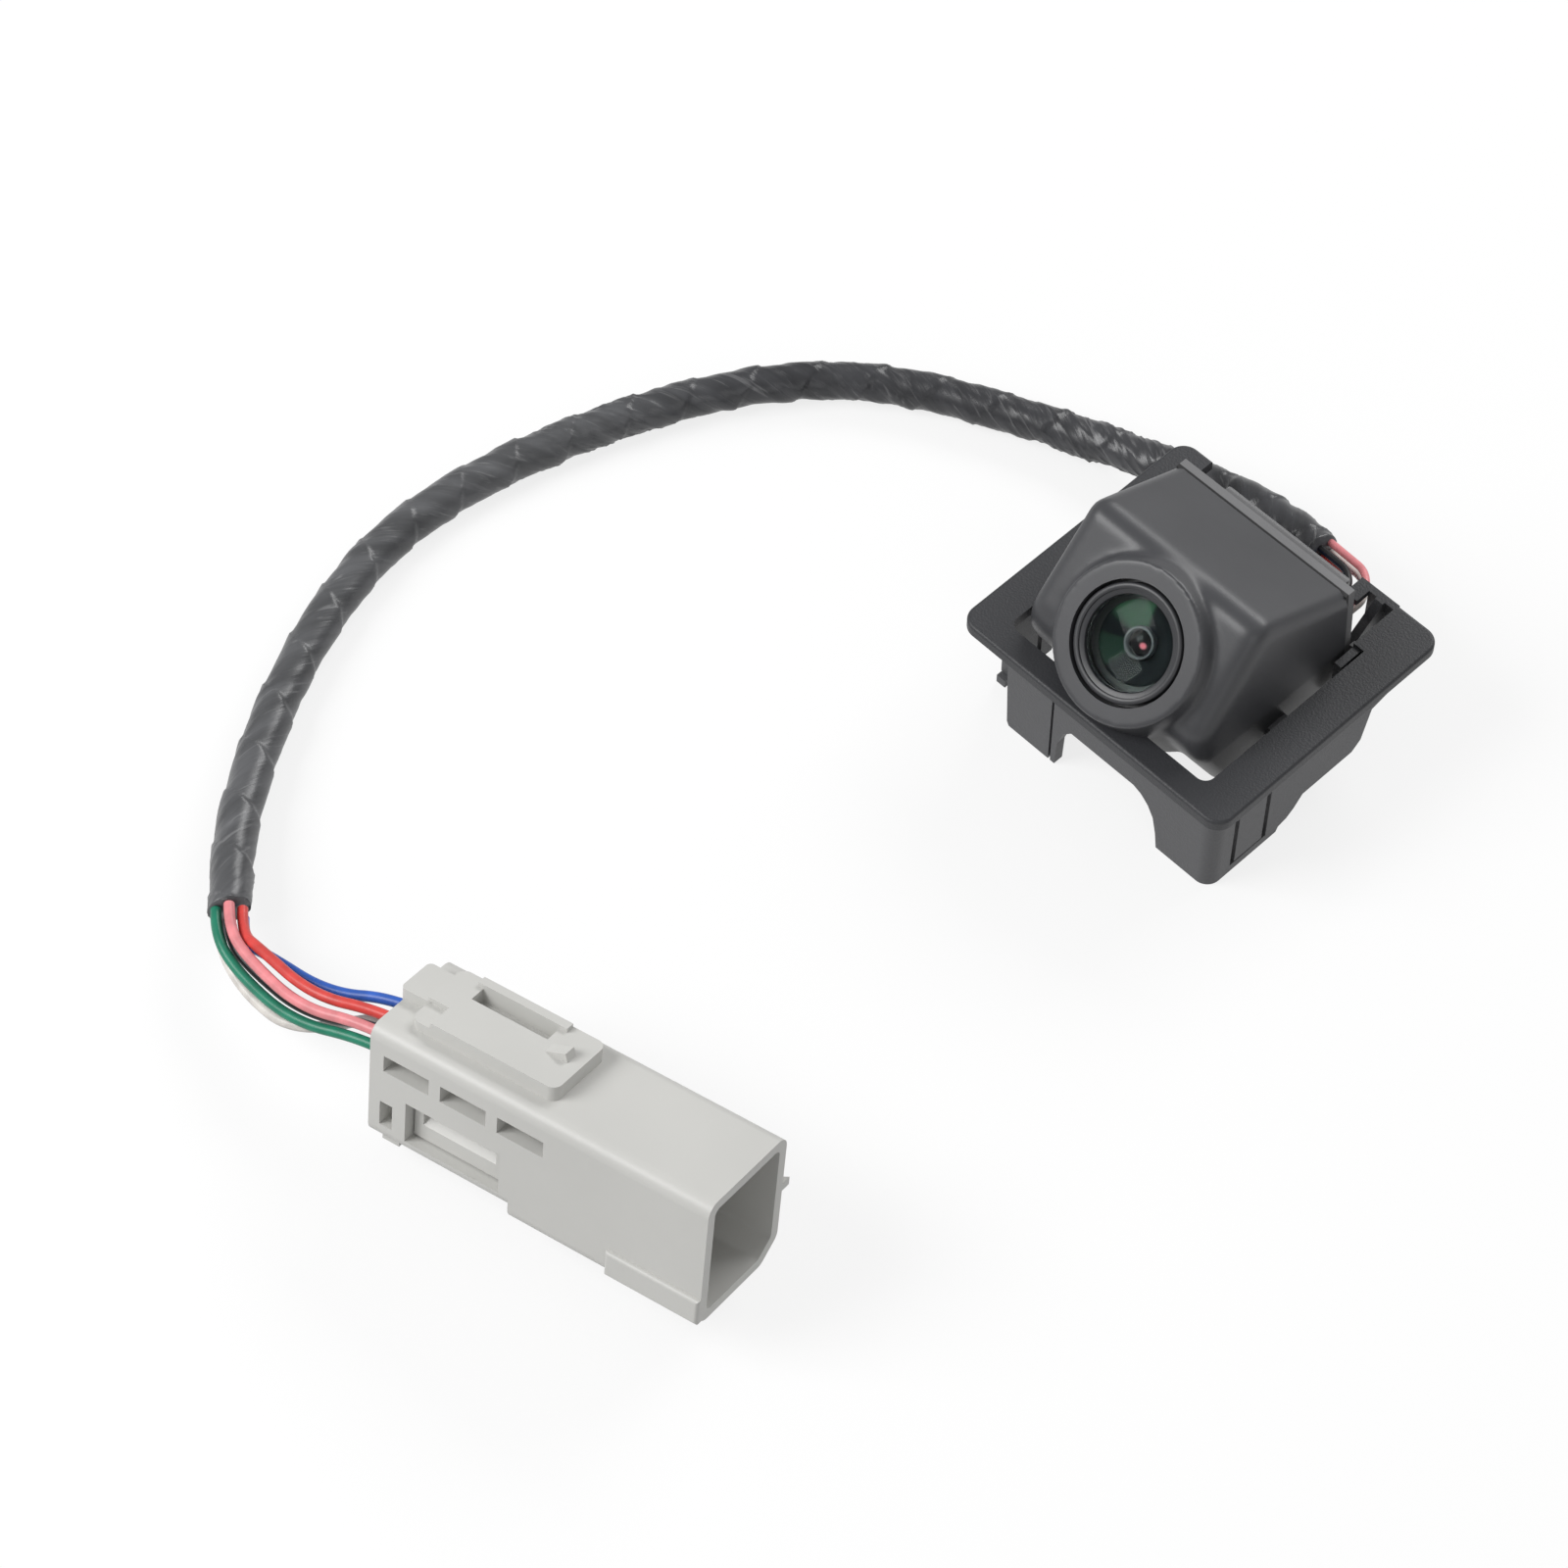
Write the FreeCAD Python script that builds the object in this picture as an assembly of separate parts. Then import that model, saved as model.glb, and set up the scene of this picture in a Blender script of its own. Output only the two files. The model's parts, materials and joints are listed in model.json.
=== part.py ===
import FreeCAD, Part
import math
import os

os.makedirs("parts", exist_ok=True)
V = FreeCAD.Vector

# Clearances
gapBodies = 0.3
gapSide = 0.2

# Bezel: a U-shaped flange over a skirt that stands on the floor
bezelWidth = 48.0
bezelDepth = 44.3
bezelTop = 19.0
flangeThick = 1.8
flangeCorner = 2.6
skirtInset = 2.0
skirtThick = 1.6
rimLeft = 5.6
rimRight = 6.1
rimFront = 3.95
rimStep = 1.9
hookReach = 6.6
openLeft = -bezelWidth / 2 + rimLeft
openRight = bezelWidth / 2 - rimRight
openFront = -bezelDepth / 2 + rimFront
openBackRight = openRight - rimStep
openStep = 13.0
flangeUnder = bezelTop - flangeThick
skirtX = bezelWidth / 2 - skirtInset
skirtFront = -bezelDepth / 2 + skirtInset
skirtBack = 16.0
skirtInner = skirtX - skirtThick
cornerOpen = 5.4

# Lugs that carry the hood, on brackets from the side walls
bracketLong = 2.8
bracketInner = skirtInner - bracketLong
lugScrewX = skirtInner - 1.3
lugOuter = lugScrewX + 1.0
lugScrewY = -1.4

# Snap fingers in the side walls
fingerFront = -15.1
fingerBack = -9.7
fingerSlot = 0.85
fingerFoot = 1.8
fingerTop = flangeUnder - gapBodies
headSpread = fingerSlot - gapBodies
headLow = 12.0
catchProud = 0.7

# Camera hood, a tapered block with a raked lens face
hoodX = -1.0
hoodTopX = -1.45
hoodBottom = 7.0
hoodBack = 12.0
hoodBackTop = 29.0
hoodRidgeY = -5.0
hoodRidgeZ = 37.0
hoodFrontY = -17.0
hoodFrontZ = 23.0
hoodHalfLow = bracketInner + hoodX - gapSide
hoodHalfTop = hoodHalfLow - 0.85
hoodTaperZ = 17.5
hoodPeak = hoodRidgeZ + 1.0
hoodWall = 1.8
hoodRound = 3.0
postInset = 4.0
lensTilt = 42.0
lensX = -0.55
lensY = -14.95
lensZ = 29.3
bossRadius = 11.2
bossWaist = 12.6
bossBase = 15.0
bossDepth = 11.0
bossNeck = 4.6

# Lens train, measured back from the front rim of the boss
retainerOuter = 8.6
retainerInner = 6.7
retainerDeep = 2.4
barrelOuter = 7.6
barrelInner = 5.6
barrelLong = 11.0
glassFront = 6.6
glassDome = 1.7
sealThick = 1.0
tubeLong = 2.4
secondThick = 1.8
stopThick = 0.6
rearThick = 2.0
filterThick = 0.7
filterGap = 0.7
rearTubeLong = barrelLong - tubeLong - secondThick - stopThick - rearThick - filterThick - filterGap
barrelFront = retainerDeep + sealThick
secondBack = barrelFront + tubeLong + secondThick
stopBack = secondBack + stopThick
rearBack = stopBack + rearThick
rearTubeBack = rearBack + rearTubeLong

# Rear cover and gasket
gasketThick = 0.6
coverThick = 2.6
coverHalf = hoodHalfLow - 4.8
coverX = hoodX + 2.6
coverLow = 8.6
coverHigh = 28.4
headRoom = 2.3

# Boards stand square to the lens axis
boardHalf = 6.8
boardThick = 1.2
boardScrewX = boardHalf - 0.9
boardScrewY = boardHalf - 2.1
boardScrewR = 0.6
footThick = 0.9

# Harness
sleeveD = 5.8
sleeveR = sleeveD / 2
wireD = 1.5
leadD = 1.1

# Connector
plugLong = 52.4
plugWide = 17.1
plugHigh = 20.4
plugStep = 1.9
plugStepX = 22.5
plugWall = 1.5
plugMouth = 27.0
plugYaw = 11.9
plugPitch = -5.8
plugRoll = -16.4
plugPlace = V(-27.1, -120.3, 0.75)


def box(x0, x1, y0, y1, z0, z1):
    return Part.makeBox(x1 - x0, y1 - y0, z1 - z0, V(x0, y0, z0))


def cyl(r, h, at, d):
    return Part.makeCylinder(r, h, at, d)


def cone(r0, r1, h, at, d):
    return Part.makeCone(r0, r1, h, at, d)


def roundBox(x0, x1, y0, y1, z0, z1, r):
    b = box(x0, x1, y0, y1, z0, z1)
    edges = [e for e in b.Edges if abs(e.tangentAt(e.FirstParameter).z) > 0.9]
    return b.makeFillet(r, edges)


def softened(shape, r, pick):
    edges = [e for e in shape.Edges if pick(e)]
    try:
        out = shape.makeFillet(r, edges)
        if out.isValid() and out.Volume > 0:
            return out
    except Exception:
        print("fillet", r, "left out")
    return shape


def prismX(points, x0, x1):
    ring = [V(x0, y, z) for y, z in points]
    face = Part.Face(Part.makePolygon(ring + [ring[0]]))
    return face.extrude(V(x1 - x0, 0, 0))


def prismY(points, y0, y1):
    ring = [V(x, y0, z) for x, z in points]
    face = Part.Face(Part.makePolygon(ring + [ring[0]]))
    return face.extrude(V(0, y1 - y0, 0))


def save(node, shape):
    if shape.ShapeType == "Compound" and len(shape.Solids) == 1:
        shape = shape.Solids[0]
    shape.exportStep("parts/" + node + ".step")
    b = shape.BoundBox
    if shape.ShapeType == "Compound":
        for s in shape.Solids:
            c = s.BoundBox
            print("   piece %9.2f at x %6.1f y %6.1f z %6.1f" % (s.Volume, c.XMin, c.YMin, c.ZMin))
    print("%-20s vol %9.1f  z %6.2f..%6.2f  valid %s  solids %d"
          % (node, shape.Volume, b.ZMin, b.ZMax, shape.isValid(), len(shape.Solids)))


# Bezel frame
def buildFlange():
    halfW = bezelWidth / 2
    halfD = bezelDepth / 2
    flange = roundBox(-halfW, halfW, -halfD, halfD, flangeUnder, bezelTop, flangeCorner)
    flange = softened(flange, 0.5, lambda e: e.BoundBox.ZMin > bezelTop - 0.01)
    hole = roundBox(openLeft, openRight, openFront, halfD + 6, 0, bezelTop + 2, 1.6)
    step = box(openBackRight, openRight + 1, openStep, halfD + 8, 0, bezelTop + 2)
    return flange.cut(hole.cut(step))


def sideProfile():
    # foot, rising curve, long haunch, then the back edge under the flange
    return [(skirtFront, 0), (-6.6, 0), (-6.2, 0.9), (-4.6, 1.3), (-3.2, 2.4), (-1.7, 4.2), (8.2, 4.2),
            (9.8, 5.6), (11.2, 11.4), (skirtBack, 12.6), (skirtBack, flangeUnder),
            (skirtFront, flangeUnder)]


def frontProfile():
    # left foot, raised middle edge, curved flank, right foot
    return [(-skirtX, 0), (-6.8, 0), (-6.6, 5.0), (-5.6, 8.2), (-4.2, 9.8), (7.4, 9.8), (8.8, 9.2),
            (10.2, 7.9), (11.3, 6.0), (12.0, 3.0), (12.4, 0), (skirtX, 0),
            (skirtX, flangeUnder), (-skirtX, flangeUnder)]


def buildSkirt():
    outer = roundBox(-skirtX, skirtX, skirtFront, 30, 0, flangeUnder, 2.2)
    inner = roundBox(-skirtInner, skirtInner, skirtFront + skirtThick, 34, -1, flangeUnder + 1, 0.9)
    shell = outer.cut(inner)
    frontPart = prismY(frontProfile(), skirtFront - 1, skirtFront + 3.2)
    sides = prismX(sideProfile(), -skirtX - 1, skirtX + 1)
    middle = box(-skirtX + 3.2, skirtX - 3.2, skirtFront - 1, skirtFront + 3.2, -1, flangeUnder + 1)
    skirt = shell.common(sides.cut(middle)).fuse(shell.common(frontPart).common(middle))
    slit = box(-8.0, -7.6, skirtFront - 1, skirtFront + 0.5, 0, flangeUnder)
    return skirt.cut(slit).cut(leftNotch())


def leftNotch():
    # the left front corner is open between the front foot and the snap finger
    edge = -skirtX + cornerOpen
    ring = [(-skirtX - 1, -1), (edge + 1.6, -1), (edge + 0.7, 0.8), (edge, flangeUnder),
            (-skirtX - 1, flangeUnder)]
    return prismY(ring, skirtFront - 1, fingerFront - fingerSlot)


def fingerWindow(side):
    x0, x1 = sorted((side * (skirtInner - 2.4), side * (skirtX + 1)))
    front = fingerFront - fingerSlot
    back = fingerBack + fingerSlot
    return box(x0, x1, front, back, fingerFoot - gapBodies, flangeUnder)


def hoodBracket(side):
    # a shelf from the side wall that carries the hood lug
    x0, x1 = sorted((side * (skirtInner + 0.2), side * bracketInner))
    shelf = box(x0, x1, lugScrewY - 1.6, 5.0, 10.4, 12.4)
    web = box(x0, x1, 0.4, 1.6, 4.6, 10.4)
    bore = cyl(0.75, 4, V(side * lugScrewX, lugScrewY, 9.5), V(0, 0, 1))
    return shelf.fuse(web).cut(bore)


def rearRibs():
    # two upright ribs beside the hood's back corner, tied by a low cross wall
    x0 = openBackRight + 0.2
    ribs = box(x0, x0 + 1.2, 9.0, 15.5, 11.0, bezelTop - 0.4)
    ribs = ribs.fuse(box(x0 + 2.3, x0 + 3.3, 10.5, 15.5, 11.0, flangeUnder))
    ribs = ribs.fuse(box(x0, skirtInner + 0.01, 14.3, 15.5, 11.4, flangeUnder))
    web = box(openBackRight - 1.6, skirtInner + 0.01, openStep + 1.5, openStep + 2.5, 9.0, 15.6)
    return ribs.fuse(web)


def rearHook():
    # the right arm's end turns inward over the leads: a thin lip, a wall and one sloping rib
    back = bezelDepth / 2
    right = openBackRight + 0.2
    left = openBackRight - hookReach
    lip = box(left, left + 2.2, back - 3.6, back, bezelTop - 1.0, bezelTop)
    wall = box(left + 2.1, right, back - 1.1, back, 12.6, bezelTop)
    slope = [(back - 0.5, bezelTop), (back - 1.5, bezelTop), (15.2, 14.2), (15.2, 12.6), (17.2, 12.6),
             (back - 0.5, 15.6)]
    rib = prismX(slope, left + 3.6, left + 5.0)
    return lip.fuse(wall).fuse(rib)


def leftRib():
    return box(-skirtInner - 0.01, openLeft - 0.4, 14.3, 15.5, 11.4, flangeUnder)


def buildBezel():
    bezel = buildFlange().fuse(buildSkirt())
    for side in (1, -1):
        bezel = bezel.cut(fingerWindow(side)).fuse(hoodBracket(side))
    bezel = bezel.fuse(rearRibs()).fuse(rearHook()).fuse(leftRib())
    return bezel.removeSplitter()


def buildFinger(side):
    x0, x1 = sorted((side * skirtInner, side * skirtX))
    blade = box(x0, x1, fingerFront, fingerBack, fingerFoot, fingerTop)
    head = box(x0, x1, fingerFront - headSpread, fingerBack + headSpread, headLow, fingerTop)
    face = side * skirtX
    ramp = [(face, headLow + 0.6), (face + side * catchProud, fingerTop - 1.4), (face, fingerTop - 0.5)]
    catch = prismY(ramp, fingerFront + 0.6, fingerBack - 0.6)
    return blade.fuse(head).fuse(catch).removeSplitter()


# Camera hood
axisOut = V(0, -math.cos(math.radians(lensTilt)), math.sin(math.radians(lensTilt)))
lensFace = V(lensX, lensY, lensZ)


def along(d):
    return lensFace - axisOut * d


def hoodSection(inset, back):
    # the hood seen from the side
    low = hoodBottom + inset
    ridge = (hoodRidgeY - inset * 0.1, hoodRidgeZ - inset * 1.2)
    brow = (hoodFrontY + inset * 1.2, hoodFrontZ - inset * 0.3)
    chin = [(hoodFrontY + inset * 1.2 + 0.6, 18.5), (hoodFrontY + inset * 0.9 + 7.0, low)]
    return [(back, low), (back, hoodBackTop - inset * 1.05), ridge, brow] + chin


def hoodSides(inset, low, high):
    # the hood seen from the back, upright to hoodTaperZ and then narrower
    part = (high - hoodTaperZ) / (hoodPeak - hoodTaperZ)
    half = hoodHalfLow - inset
    left = hoodX - half + part * (hoodTopX - hoodHalfTop - hoodX + hoodHalfLow)
    right = hoodX + half + part * (hoodTopX + hoodHalfTop - hoodX - hoodHalfLow)
    return [(hoodX - half, low), (hoodX + half, low), (hoodX + half, hoodTaperZ),
            (right, high), (left, high), (hoodX - half, hoodTaperZ)]


def hoodBlock(inset, back):
    reach = hoodHalfLow + 2
    wide = prismX(hoodSection(inset, back), hoodX - reach, hoodX + reach)
    return wide.common(prismY(hoodSides(inset, hoodBottom + inset - 1, hoodPeak), -40, 40))


def hoodLug(side):
    x0, x1 = sorted((hoodX + side * (hoodHalfLow - 0.8), side * lugOuter))
    lug = box(x0, x1, lugScrewY - 1.4, lugScrewY + 2.0, 12.4, 14.2)
    return lug.cut(cyl(0.95, 6, V(side * lugScrewX, lugScrewY, 10), V(0, 0, 1)))


def coverPosts():
    reach = hoodHalfLow - postInset
    return [(hoodX + sx * reach, z) for sx in (1, -1) for z in (10.6, 24.4)]


def hoodShell():
    block = hoodBlock(0, hoodBack)
    return softened(block, hoodRound, lambda e: e.BoundBox.YMax < hoodBack - 0.2)


def lensBoss():
    boss = cone(bossBase, bossWaist, bossDepth - bossNeck, along(bossDepth), axisOut)
    boss = boss.fuse(cone(bossWaist, bossRadius, bossNeck, along(bossNeck), axisOut)).removeSplitter()
    boss = softened(boss, 1.4, lambda e: (e.CenterOfMass - lensFace).Length < 0.5)
    low = hoodX - hoodHalfLow + 0.3
    high = hoodX + hoodHalfLow - 0.3
    return boss.common(box(low, high, -40, hoodBack, bezelTop + 0.6, 60))


def buildHood():
    hood = hoodShell().fuse(lensBoss()).removeSplitter()
    hood = hood.cut(hoodBlock(hoodWall, hoodBack + 5))
    for x, z in coverPosts():
        post = cyl(2.1, 6, V(x, hoodBack - 6, z), V(0, 1, 0)).common(hoodBlock(0.4, hoodBack))
        hood = hood.fuse(post)
    front = box(-40, 40, -60, hoodBack - 7, 0, 60)
    hood = hood.cut(cyl(barrelOuter, 40, along(25), axisOut).common(front))
    hood = hood.cut(cyl(retainerOuter, retainerDeep, along(retainerDeep), axisOut))
    for x, z in coverPosts():
        hood = hood.cut(cyl(0.9, 5, V(x, hoodBack - 5, z), V(0, 1, 0)))
    for side in (1, -1):
        hood = hood.fuse(hoodLug(side))
    return hood.removeSplitter()


def buildGasket():
    ring = prismY(backOutline(0.5), hoodBack, hoodBack + gasketThick)
    ring = ring.cut(prismY(backOutline(hoodWall + 0.4), hoodBack - 1, hoodBack + 2))
    for x, z in coverPosts():
        ring = ring.fuse(cyl(1.9, gasketThick, V(x, hoodBack, z), V(0, 1, 0)))
        ring = ring.cut(cyl(1.05, 4, V(x, hoodBack - 1, z), V(0, 1, 0)))
    return ring.removeSplitter()


def backOutline(inset):
    return hoodSides(inset, hoodBottom + inset, hoodBackTop - inset)


grommetX = hoodX + hoodHalfLow - 6.8
grommetZ = 16.2
grommetHalfX = 3.4
grommetHalfZ = 2.4


def buildCover():
    y0 = hoodBack + gasketThick
    y1 = y0 + coverThick
    plate = prismY(backOutline(0.5), y0, y0 + 1.2)
    ledge = roundLedge(y0 + 1.2, y1 + 0.6)
    cover = plate.fuse(ledge)
    cover = cover.cut(grommetSlot(y0 - 1, y1 + 3, 0))
    for x, z in coverPosts():
        cover = cover.cut(cyl(1.05, 6, V(x, y0 - 1, z), V(0, 1, 0)))
        cover = cover.cut(box(x - headRoom, x + headRoom, y0 + 1.2, y0 + 8, z - headRoom, z + headRoom))
    notch = box(coverX - 3.2, coverX + 3.2, y0 + 2.2, y1 + 2, coverHigh - 7, coverHigh - 2.5)
    return cover.cut(notch).removeSplitter()


def roundLedge(y0, y1):
    b = box(coverX - coverHalf, coverX + coverHalf - 1.2, y0, y1, coverLow, coverHigh - 1.2)
    return softened(b, 0.7, lambda e: e.BoundBox.YMin > y1 - 0.01)


def grommetSlot(y0, y1, grow):
    hx = grommetHalfX + grow
    hz = grommetHalfZ + grow
    b = box(grommetX - hx, grommetX + hx, y0, y1, grommetZ - hz, grommetZ + hz)
    edges = [e for e in b.Edges if abs(e.tangentAt(e.FirstParameter).y) > 0.9]
    return b.makeFillet(1.2, edges)


leadY = hoodBack + gasketThick + coverThick + 1.2
leadSpots = [(grommetX + (i - 1) * 1.9, grommetZ + (1 - 2 * j) * 1.0) for j in (0, 1) for i in (0, 1, 2)]


def buildGrommet():
    y0 = hoodBack + gasketThick
    body = grommetSlot(y0 - 2.0, leadY, 0)
    lip = grommetSlot(y0 + coverThick + 0.6, leadY, 0.8)
    grommet = body.fuse(lip)
    for x, z in leadSpots:
        grommet = grommet.cut(cyl(leadD / 2, 12, V(x, y0 - 3, z), V(0, 1, 0)))
    return grommet.removeSplitter()


def buildLeadStubs():
    # the six leads as they pass through the grommet and into the inner plug
    y0 = hoodBack + gasketThick - 2.0
    stubs = [cyl(leadD / 2, leadY - y0 + 3.0, V(x, y0 - 3.0, z), V(0, 1, 0)) for x, z in leadSpots]
    return Part.makeCompound(stubs)


def screw(at, d, r, long, head, headHigh):
    s = cyl(r, long, at, d).fuse(cyl(head, headHigh, at - d * headHigh, d))
    slot = cyl(head * 0.42, headHigh * 0.6, at - d * headHigh, d)
    return s.cut(slot)


def buildCoverScrews():
    y = hoodBack + gasketThick + 1.2
    items = [screw(V(x, y, z), V(0, -1, 0), 0.9, 5.6, 1.8, 1.2) for x, z in coverPosts()]
    return Part.makeCompound(items)


def buildHoodScrews():
    items = []
    for side in (1, -1):
        items.append(screw(V(side * lugScrewX, lugScrewY, 14.2), V(0, 0, -1), 0.75, 4.2, 1.3, 1.0))
    return Part.makeCompound(items)


# Lens train
def buildRetainer():
    ring = cyl(retainerOuter - 0.35, 1.5, along(retainerDeep - 0.9), axisOut)
    ring = ring.fuse(cyl(retainerOuter, 0.9, along(retainerDeep), axisOut))
    bore = cone(glassFront, retainerInner + 0.5, retainerDeep + 0.02, along(retainerDeep + 0.01), axisOut)
    return ring.cut(bore).removeSplitter()


def buildBarrel():
    back = barrelFront + barrelLong
    body = cyl(barrelOuter, barrelLong, along(back), axisOut)
    body = body.cut(cyl(barrelInner, barrelLong + 2, along(back + 1), axisOut))
    for i in range(3):
        at = along(barrelFront + 3 + i * 2.2)
        groove = cyl(barrelOuter + 1, 0.5, at, axisOut)
        groove = groove.cut(cyl(barrelOuter - 0.5, 0.5, at, axisOut))
        body = body.cut(groove)
    return body


def buildSeal():
    ring = cyl(barrelOuter, sealThick, along(barrelFront), axisOut)
    return ring.cut(cyl(glassFront, 3, along(barrelFront + 1.0), axisOut))


def dome(r, sag, rim, at):
    # plano-convex glass, its flat side facing back
    ball = (r * r + sag * sag) / (2 * sag)
    sphere = Part.makeSphere(ball, at + axisOut * (rim + sag - ball))
    return cyl(r, rim + sag, at, axisOut).common(sphere)


def buildFrontLens():
    return dome(glassFront, glassDome, 1.2, along(barrelFront))


def buildInnerTube():
    tube = cyl(barrelInner, tubeLong, along(barrelFront + tubeLong), axisOut)
    return tube.cut(cyl(2.2, tubeLong + 2, along(barrelFront + tubeLong + 1), axisOut))


def buildSecondLens():
    return dome(barrelInner, secondThick / 2, secondThick / 2, along(secondBack))


def buildStop():
    at = along(stopBack)
    return cyl(barrelInner, stopThick, at, axisOut).cut(cyl(1.6, 3, at - axisOut, axisOut))


def buildRearLens():
    return dome(barrelInner, rearThick * 0.4, rearThick * 0.6, along(rearBack))


def buildRearTube():
    at = along(rearTubeBack)
    bore = cyl(4.2, rearTubeLong + 2, at - axisOut, axisOut)
    return cyl(barrelInner, rearTubeLong, at, axisOut).cut(bore)


def buildFilter():
    return cyl(barrelInner, filterThick, along(rearTubeBack + filterThick), axisOut)


# Boards, built flat and then turned square to the lens axis
boardBack = barrelFront + barrelLong + footThick


def squared(shape, d):
    turn = FreeCAD.Rotation(V(0, 0, 1), axisOut)
    spin = FreeCAD.Placement(along(d), turn)
    shape.Placement = spin.multiply(shape.Placement)
    return shape


def buildSensor():
    die = box(-3.2, 3.2, -2.6, 2.6, 0, 0.9)
    return squared(die, boardBack)


def screwHoles(shape):
    for sx in (1, -1):
        shape = shape.cut(cyl(boardScrewR, 6, V(sx * boardScrewX, boardScrewY, -3), V(0, 0, 1)))
    return shape


def boardSlab(z0, z1):
    return roundBox(-boardHalf, boardHalf, -boardHalf + 1, boardHalf - 1, z0, z1, 1.0)


def buildSensorBoard():
    slab = boardSlab(-boardThick, 0)
    parts = box(boardHalf - 2.8, boardHalf - 1.2, -2.0, 2.0, -boardThick - 0.8, -boardThick)
    return squared(screwHoles(slab.fuse(parts)), boardBack)


def buildBarrelFoot():
    # the flanged foot that ties the barrel to the sensor board
    foot = boardSlab(0, footThick).cut(box(-3.5, 3.5, -2.9, 2.9, -1, 2))
    return squared(screwHoles(foot), boardBack)


def buildBoardScrews():
    items = []
    for sx in (1, -1):
        at = V(sx * boardScrewX, boardScrewY, -boardThick)
        items.append(screw(at, V(0, 0, 1), boardScrewR, 2.1, 1.0, 0.6))
    return squared(Part.makeCompound(items), boardBack)


headerHigh = 2.2


def buildHeader():
    block = box(-4.6, 3.2, -3.6, 3.6, -boardThick - headerHigh, -boardThick)
    return squared(block, boardBack)


def buildPowerBoard():
    z1 = -boardThick - headerHigh
    slab = roundBox(-boardHalf + 1, boardHalf - 2.6, -boardHalf + 1, boardHalf - 1, z1 - 1.0, z1, 0.8)
    slab = slab.fuse(box(-4.0, -0.6, -3.0, 0.4, z1 - 2.0, z1 - 1.0))
    slab = slab.fuse(box(0.6, 2.6, -3.0, 3.0, z1 - 1.8, z1 - 1.0))
    return squared(slab, boardBack)


def buildInnerPlug():
    # the small plug on the leads, inside behind the grommet
    y1 = hoodBack + gasketThick - 5.0
    body = box(grommetX - 3.0, grommetX + 3.0, y1 - 3.0, y1, grommetZ - 2.2, grommetZ + 2.2)
    return body


# Round cords along a route of straight runs and tangent arcs
def cordWire(points, label):
    pts = [V(*p) for p in points]
    edges = []
    last = pts[0]
    radii = []
    for i in range(1, len(pts) - 1):
        a = pts[i - 1] - pts[i]
        b = pts[i + 1] - pts[i]
        run = min(a.Length, b.Length)
        turn = math.pi - a.getAngle(b)
        cut = 0.45 * run
        radius = cut / math.tan(turn / 2)
        radii.append(radius)
        a.normalize()
        b.normalize()
        p = pts[i] + a * cut
        q = pts[i] + b * cut
        bis = (a + b).normalize()
        mid = pts[i] + bis * (radius / math.cos(turn / 2) - radius)
        edges.append(Part.makeLine(last, p))
        edges.append(Part.Arc(p, mid, q).toShape())
        last = q
    edges.append(Part.makeLine(last, pts[-1]))
    wire = Part.Wire(edges)
    print("%-14s length %.1f  least radius %.1f" % (label, wire.Length, min(radii)))
    return wire


def cord(points, d, label):
    wire = cordWire(points, label)
    start = V(*points[0])
    out = (V(*points[1]) - start).normalize()
    ring = Part.Wire(Part.makeCircle(d / 2, start, out))
    tube = wire.makePipeShell([ring], True, False)
    want = math.pi * d * d / 4 * wire.Length
    print("%-14s volume %.3f of section x length" % (label, tube.Volume / want))
    return tube


# Connector in its own frame: x from the wires to the mouth, y away, z up
def onPlug(shape):
    turn = FreeCAD.Rotation(plugYaw, plugPitch, plugRoll)
    shape.Placement = FreeCAD.Placement(plugPlace, turn).multiply(shape.Placement)
    return shape


halfPlug = plugWide / 2


def plugSection(x0, x1, inset, low):
    y0 = -halfPlug + inset
    y1 = halfPlug - inset
    z0 = low + inset
    z1 = plugHigh - inset
    k = 3.4 - inset * 0.5
    ring = [(y0, z0), (y1 - k, z0), (y1, z0 + k * 0.8), (y1, z1), (y0, z1)]
    body = prismX(ring, x0, x1)
    bend = max(0.5, 1.9 - inset * 0.6)
    return softened(body, bend, lambda e: abs(e.tangentAt(e.FirstParameter).x) > 0.9)


clipLow = plugHigh
clipHigh = plugHigh + 2.3
clipNear = -halfPlug + 3.2
clipFar = halfPlug - 3.0
clipRear = 3.8
clipFront = 26.6


def clipPlate():
    plate = roundBox(clipRear, clipFront, clipNear, clipFar, clipLow - 1.0, clipHigh, 1.3)
    corner = box(clipRear - 0.6, clipRear + 3.2, clipNear - 1, clipNear + 3.8, clipHigh - 0.9, clipHigh + 1)
    plate = plate.cut(corner)
    slot = box(clipRear + 4.4, clipFront - 6.4, clipFar - 4.0, clipFar - 1.5, clipLow + 0.2, clipHigh + 1)
    plate = plate.cut(slot)
    rail = box(clipRear + 3.6, clipFront - 5.2, clipFar - 1.5, clipFar - 0.2, clipHigh - 0.2, clipHigh + 0.7)
    tail = roundBox(-0.6, clipRear + 0.8, clipNear + 3.6, clipFar - 1.2, clipLow - 0.8, clipHigh - 0.6, 0.8)
    rampEnd = clipFront - 1.8
    ramp = [(rampEnd - 3.8, clipHigh - 0.1), (rampEnd, clipHigh - 0.1), (rampEnd - 0.4, clipHigh + 1.3)]
    wedge = prismY(ramp, -0.4, 1.4)
    return plate.fuse(rail).fuse(tail).fuse(wedge)


def plugWindows():
    cuts = []
    for i in range(3):
        x0 = 2.2 + i * 9.0
        cuts.append(box(x0, x0 + 7.2, -halfPlug - 1, -halfPlug + 3.2, 14.0, 16.6))
    cuts.append(box(1.8, 3.8, -halfPlug - 1, -halfPlug + 2.4, 4.6, 8.6))
    g = gapBodies
    cuts.append(box(lockX0 - g, lockX1 + g, -halfPlug - 2, lockBack + g, lockZ0 - g, lockZ1 + g))
    return cuts


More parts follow.
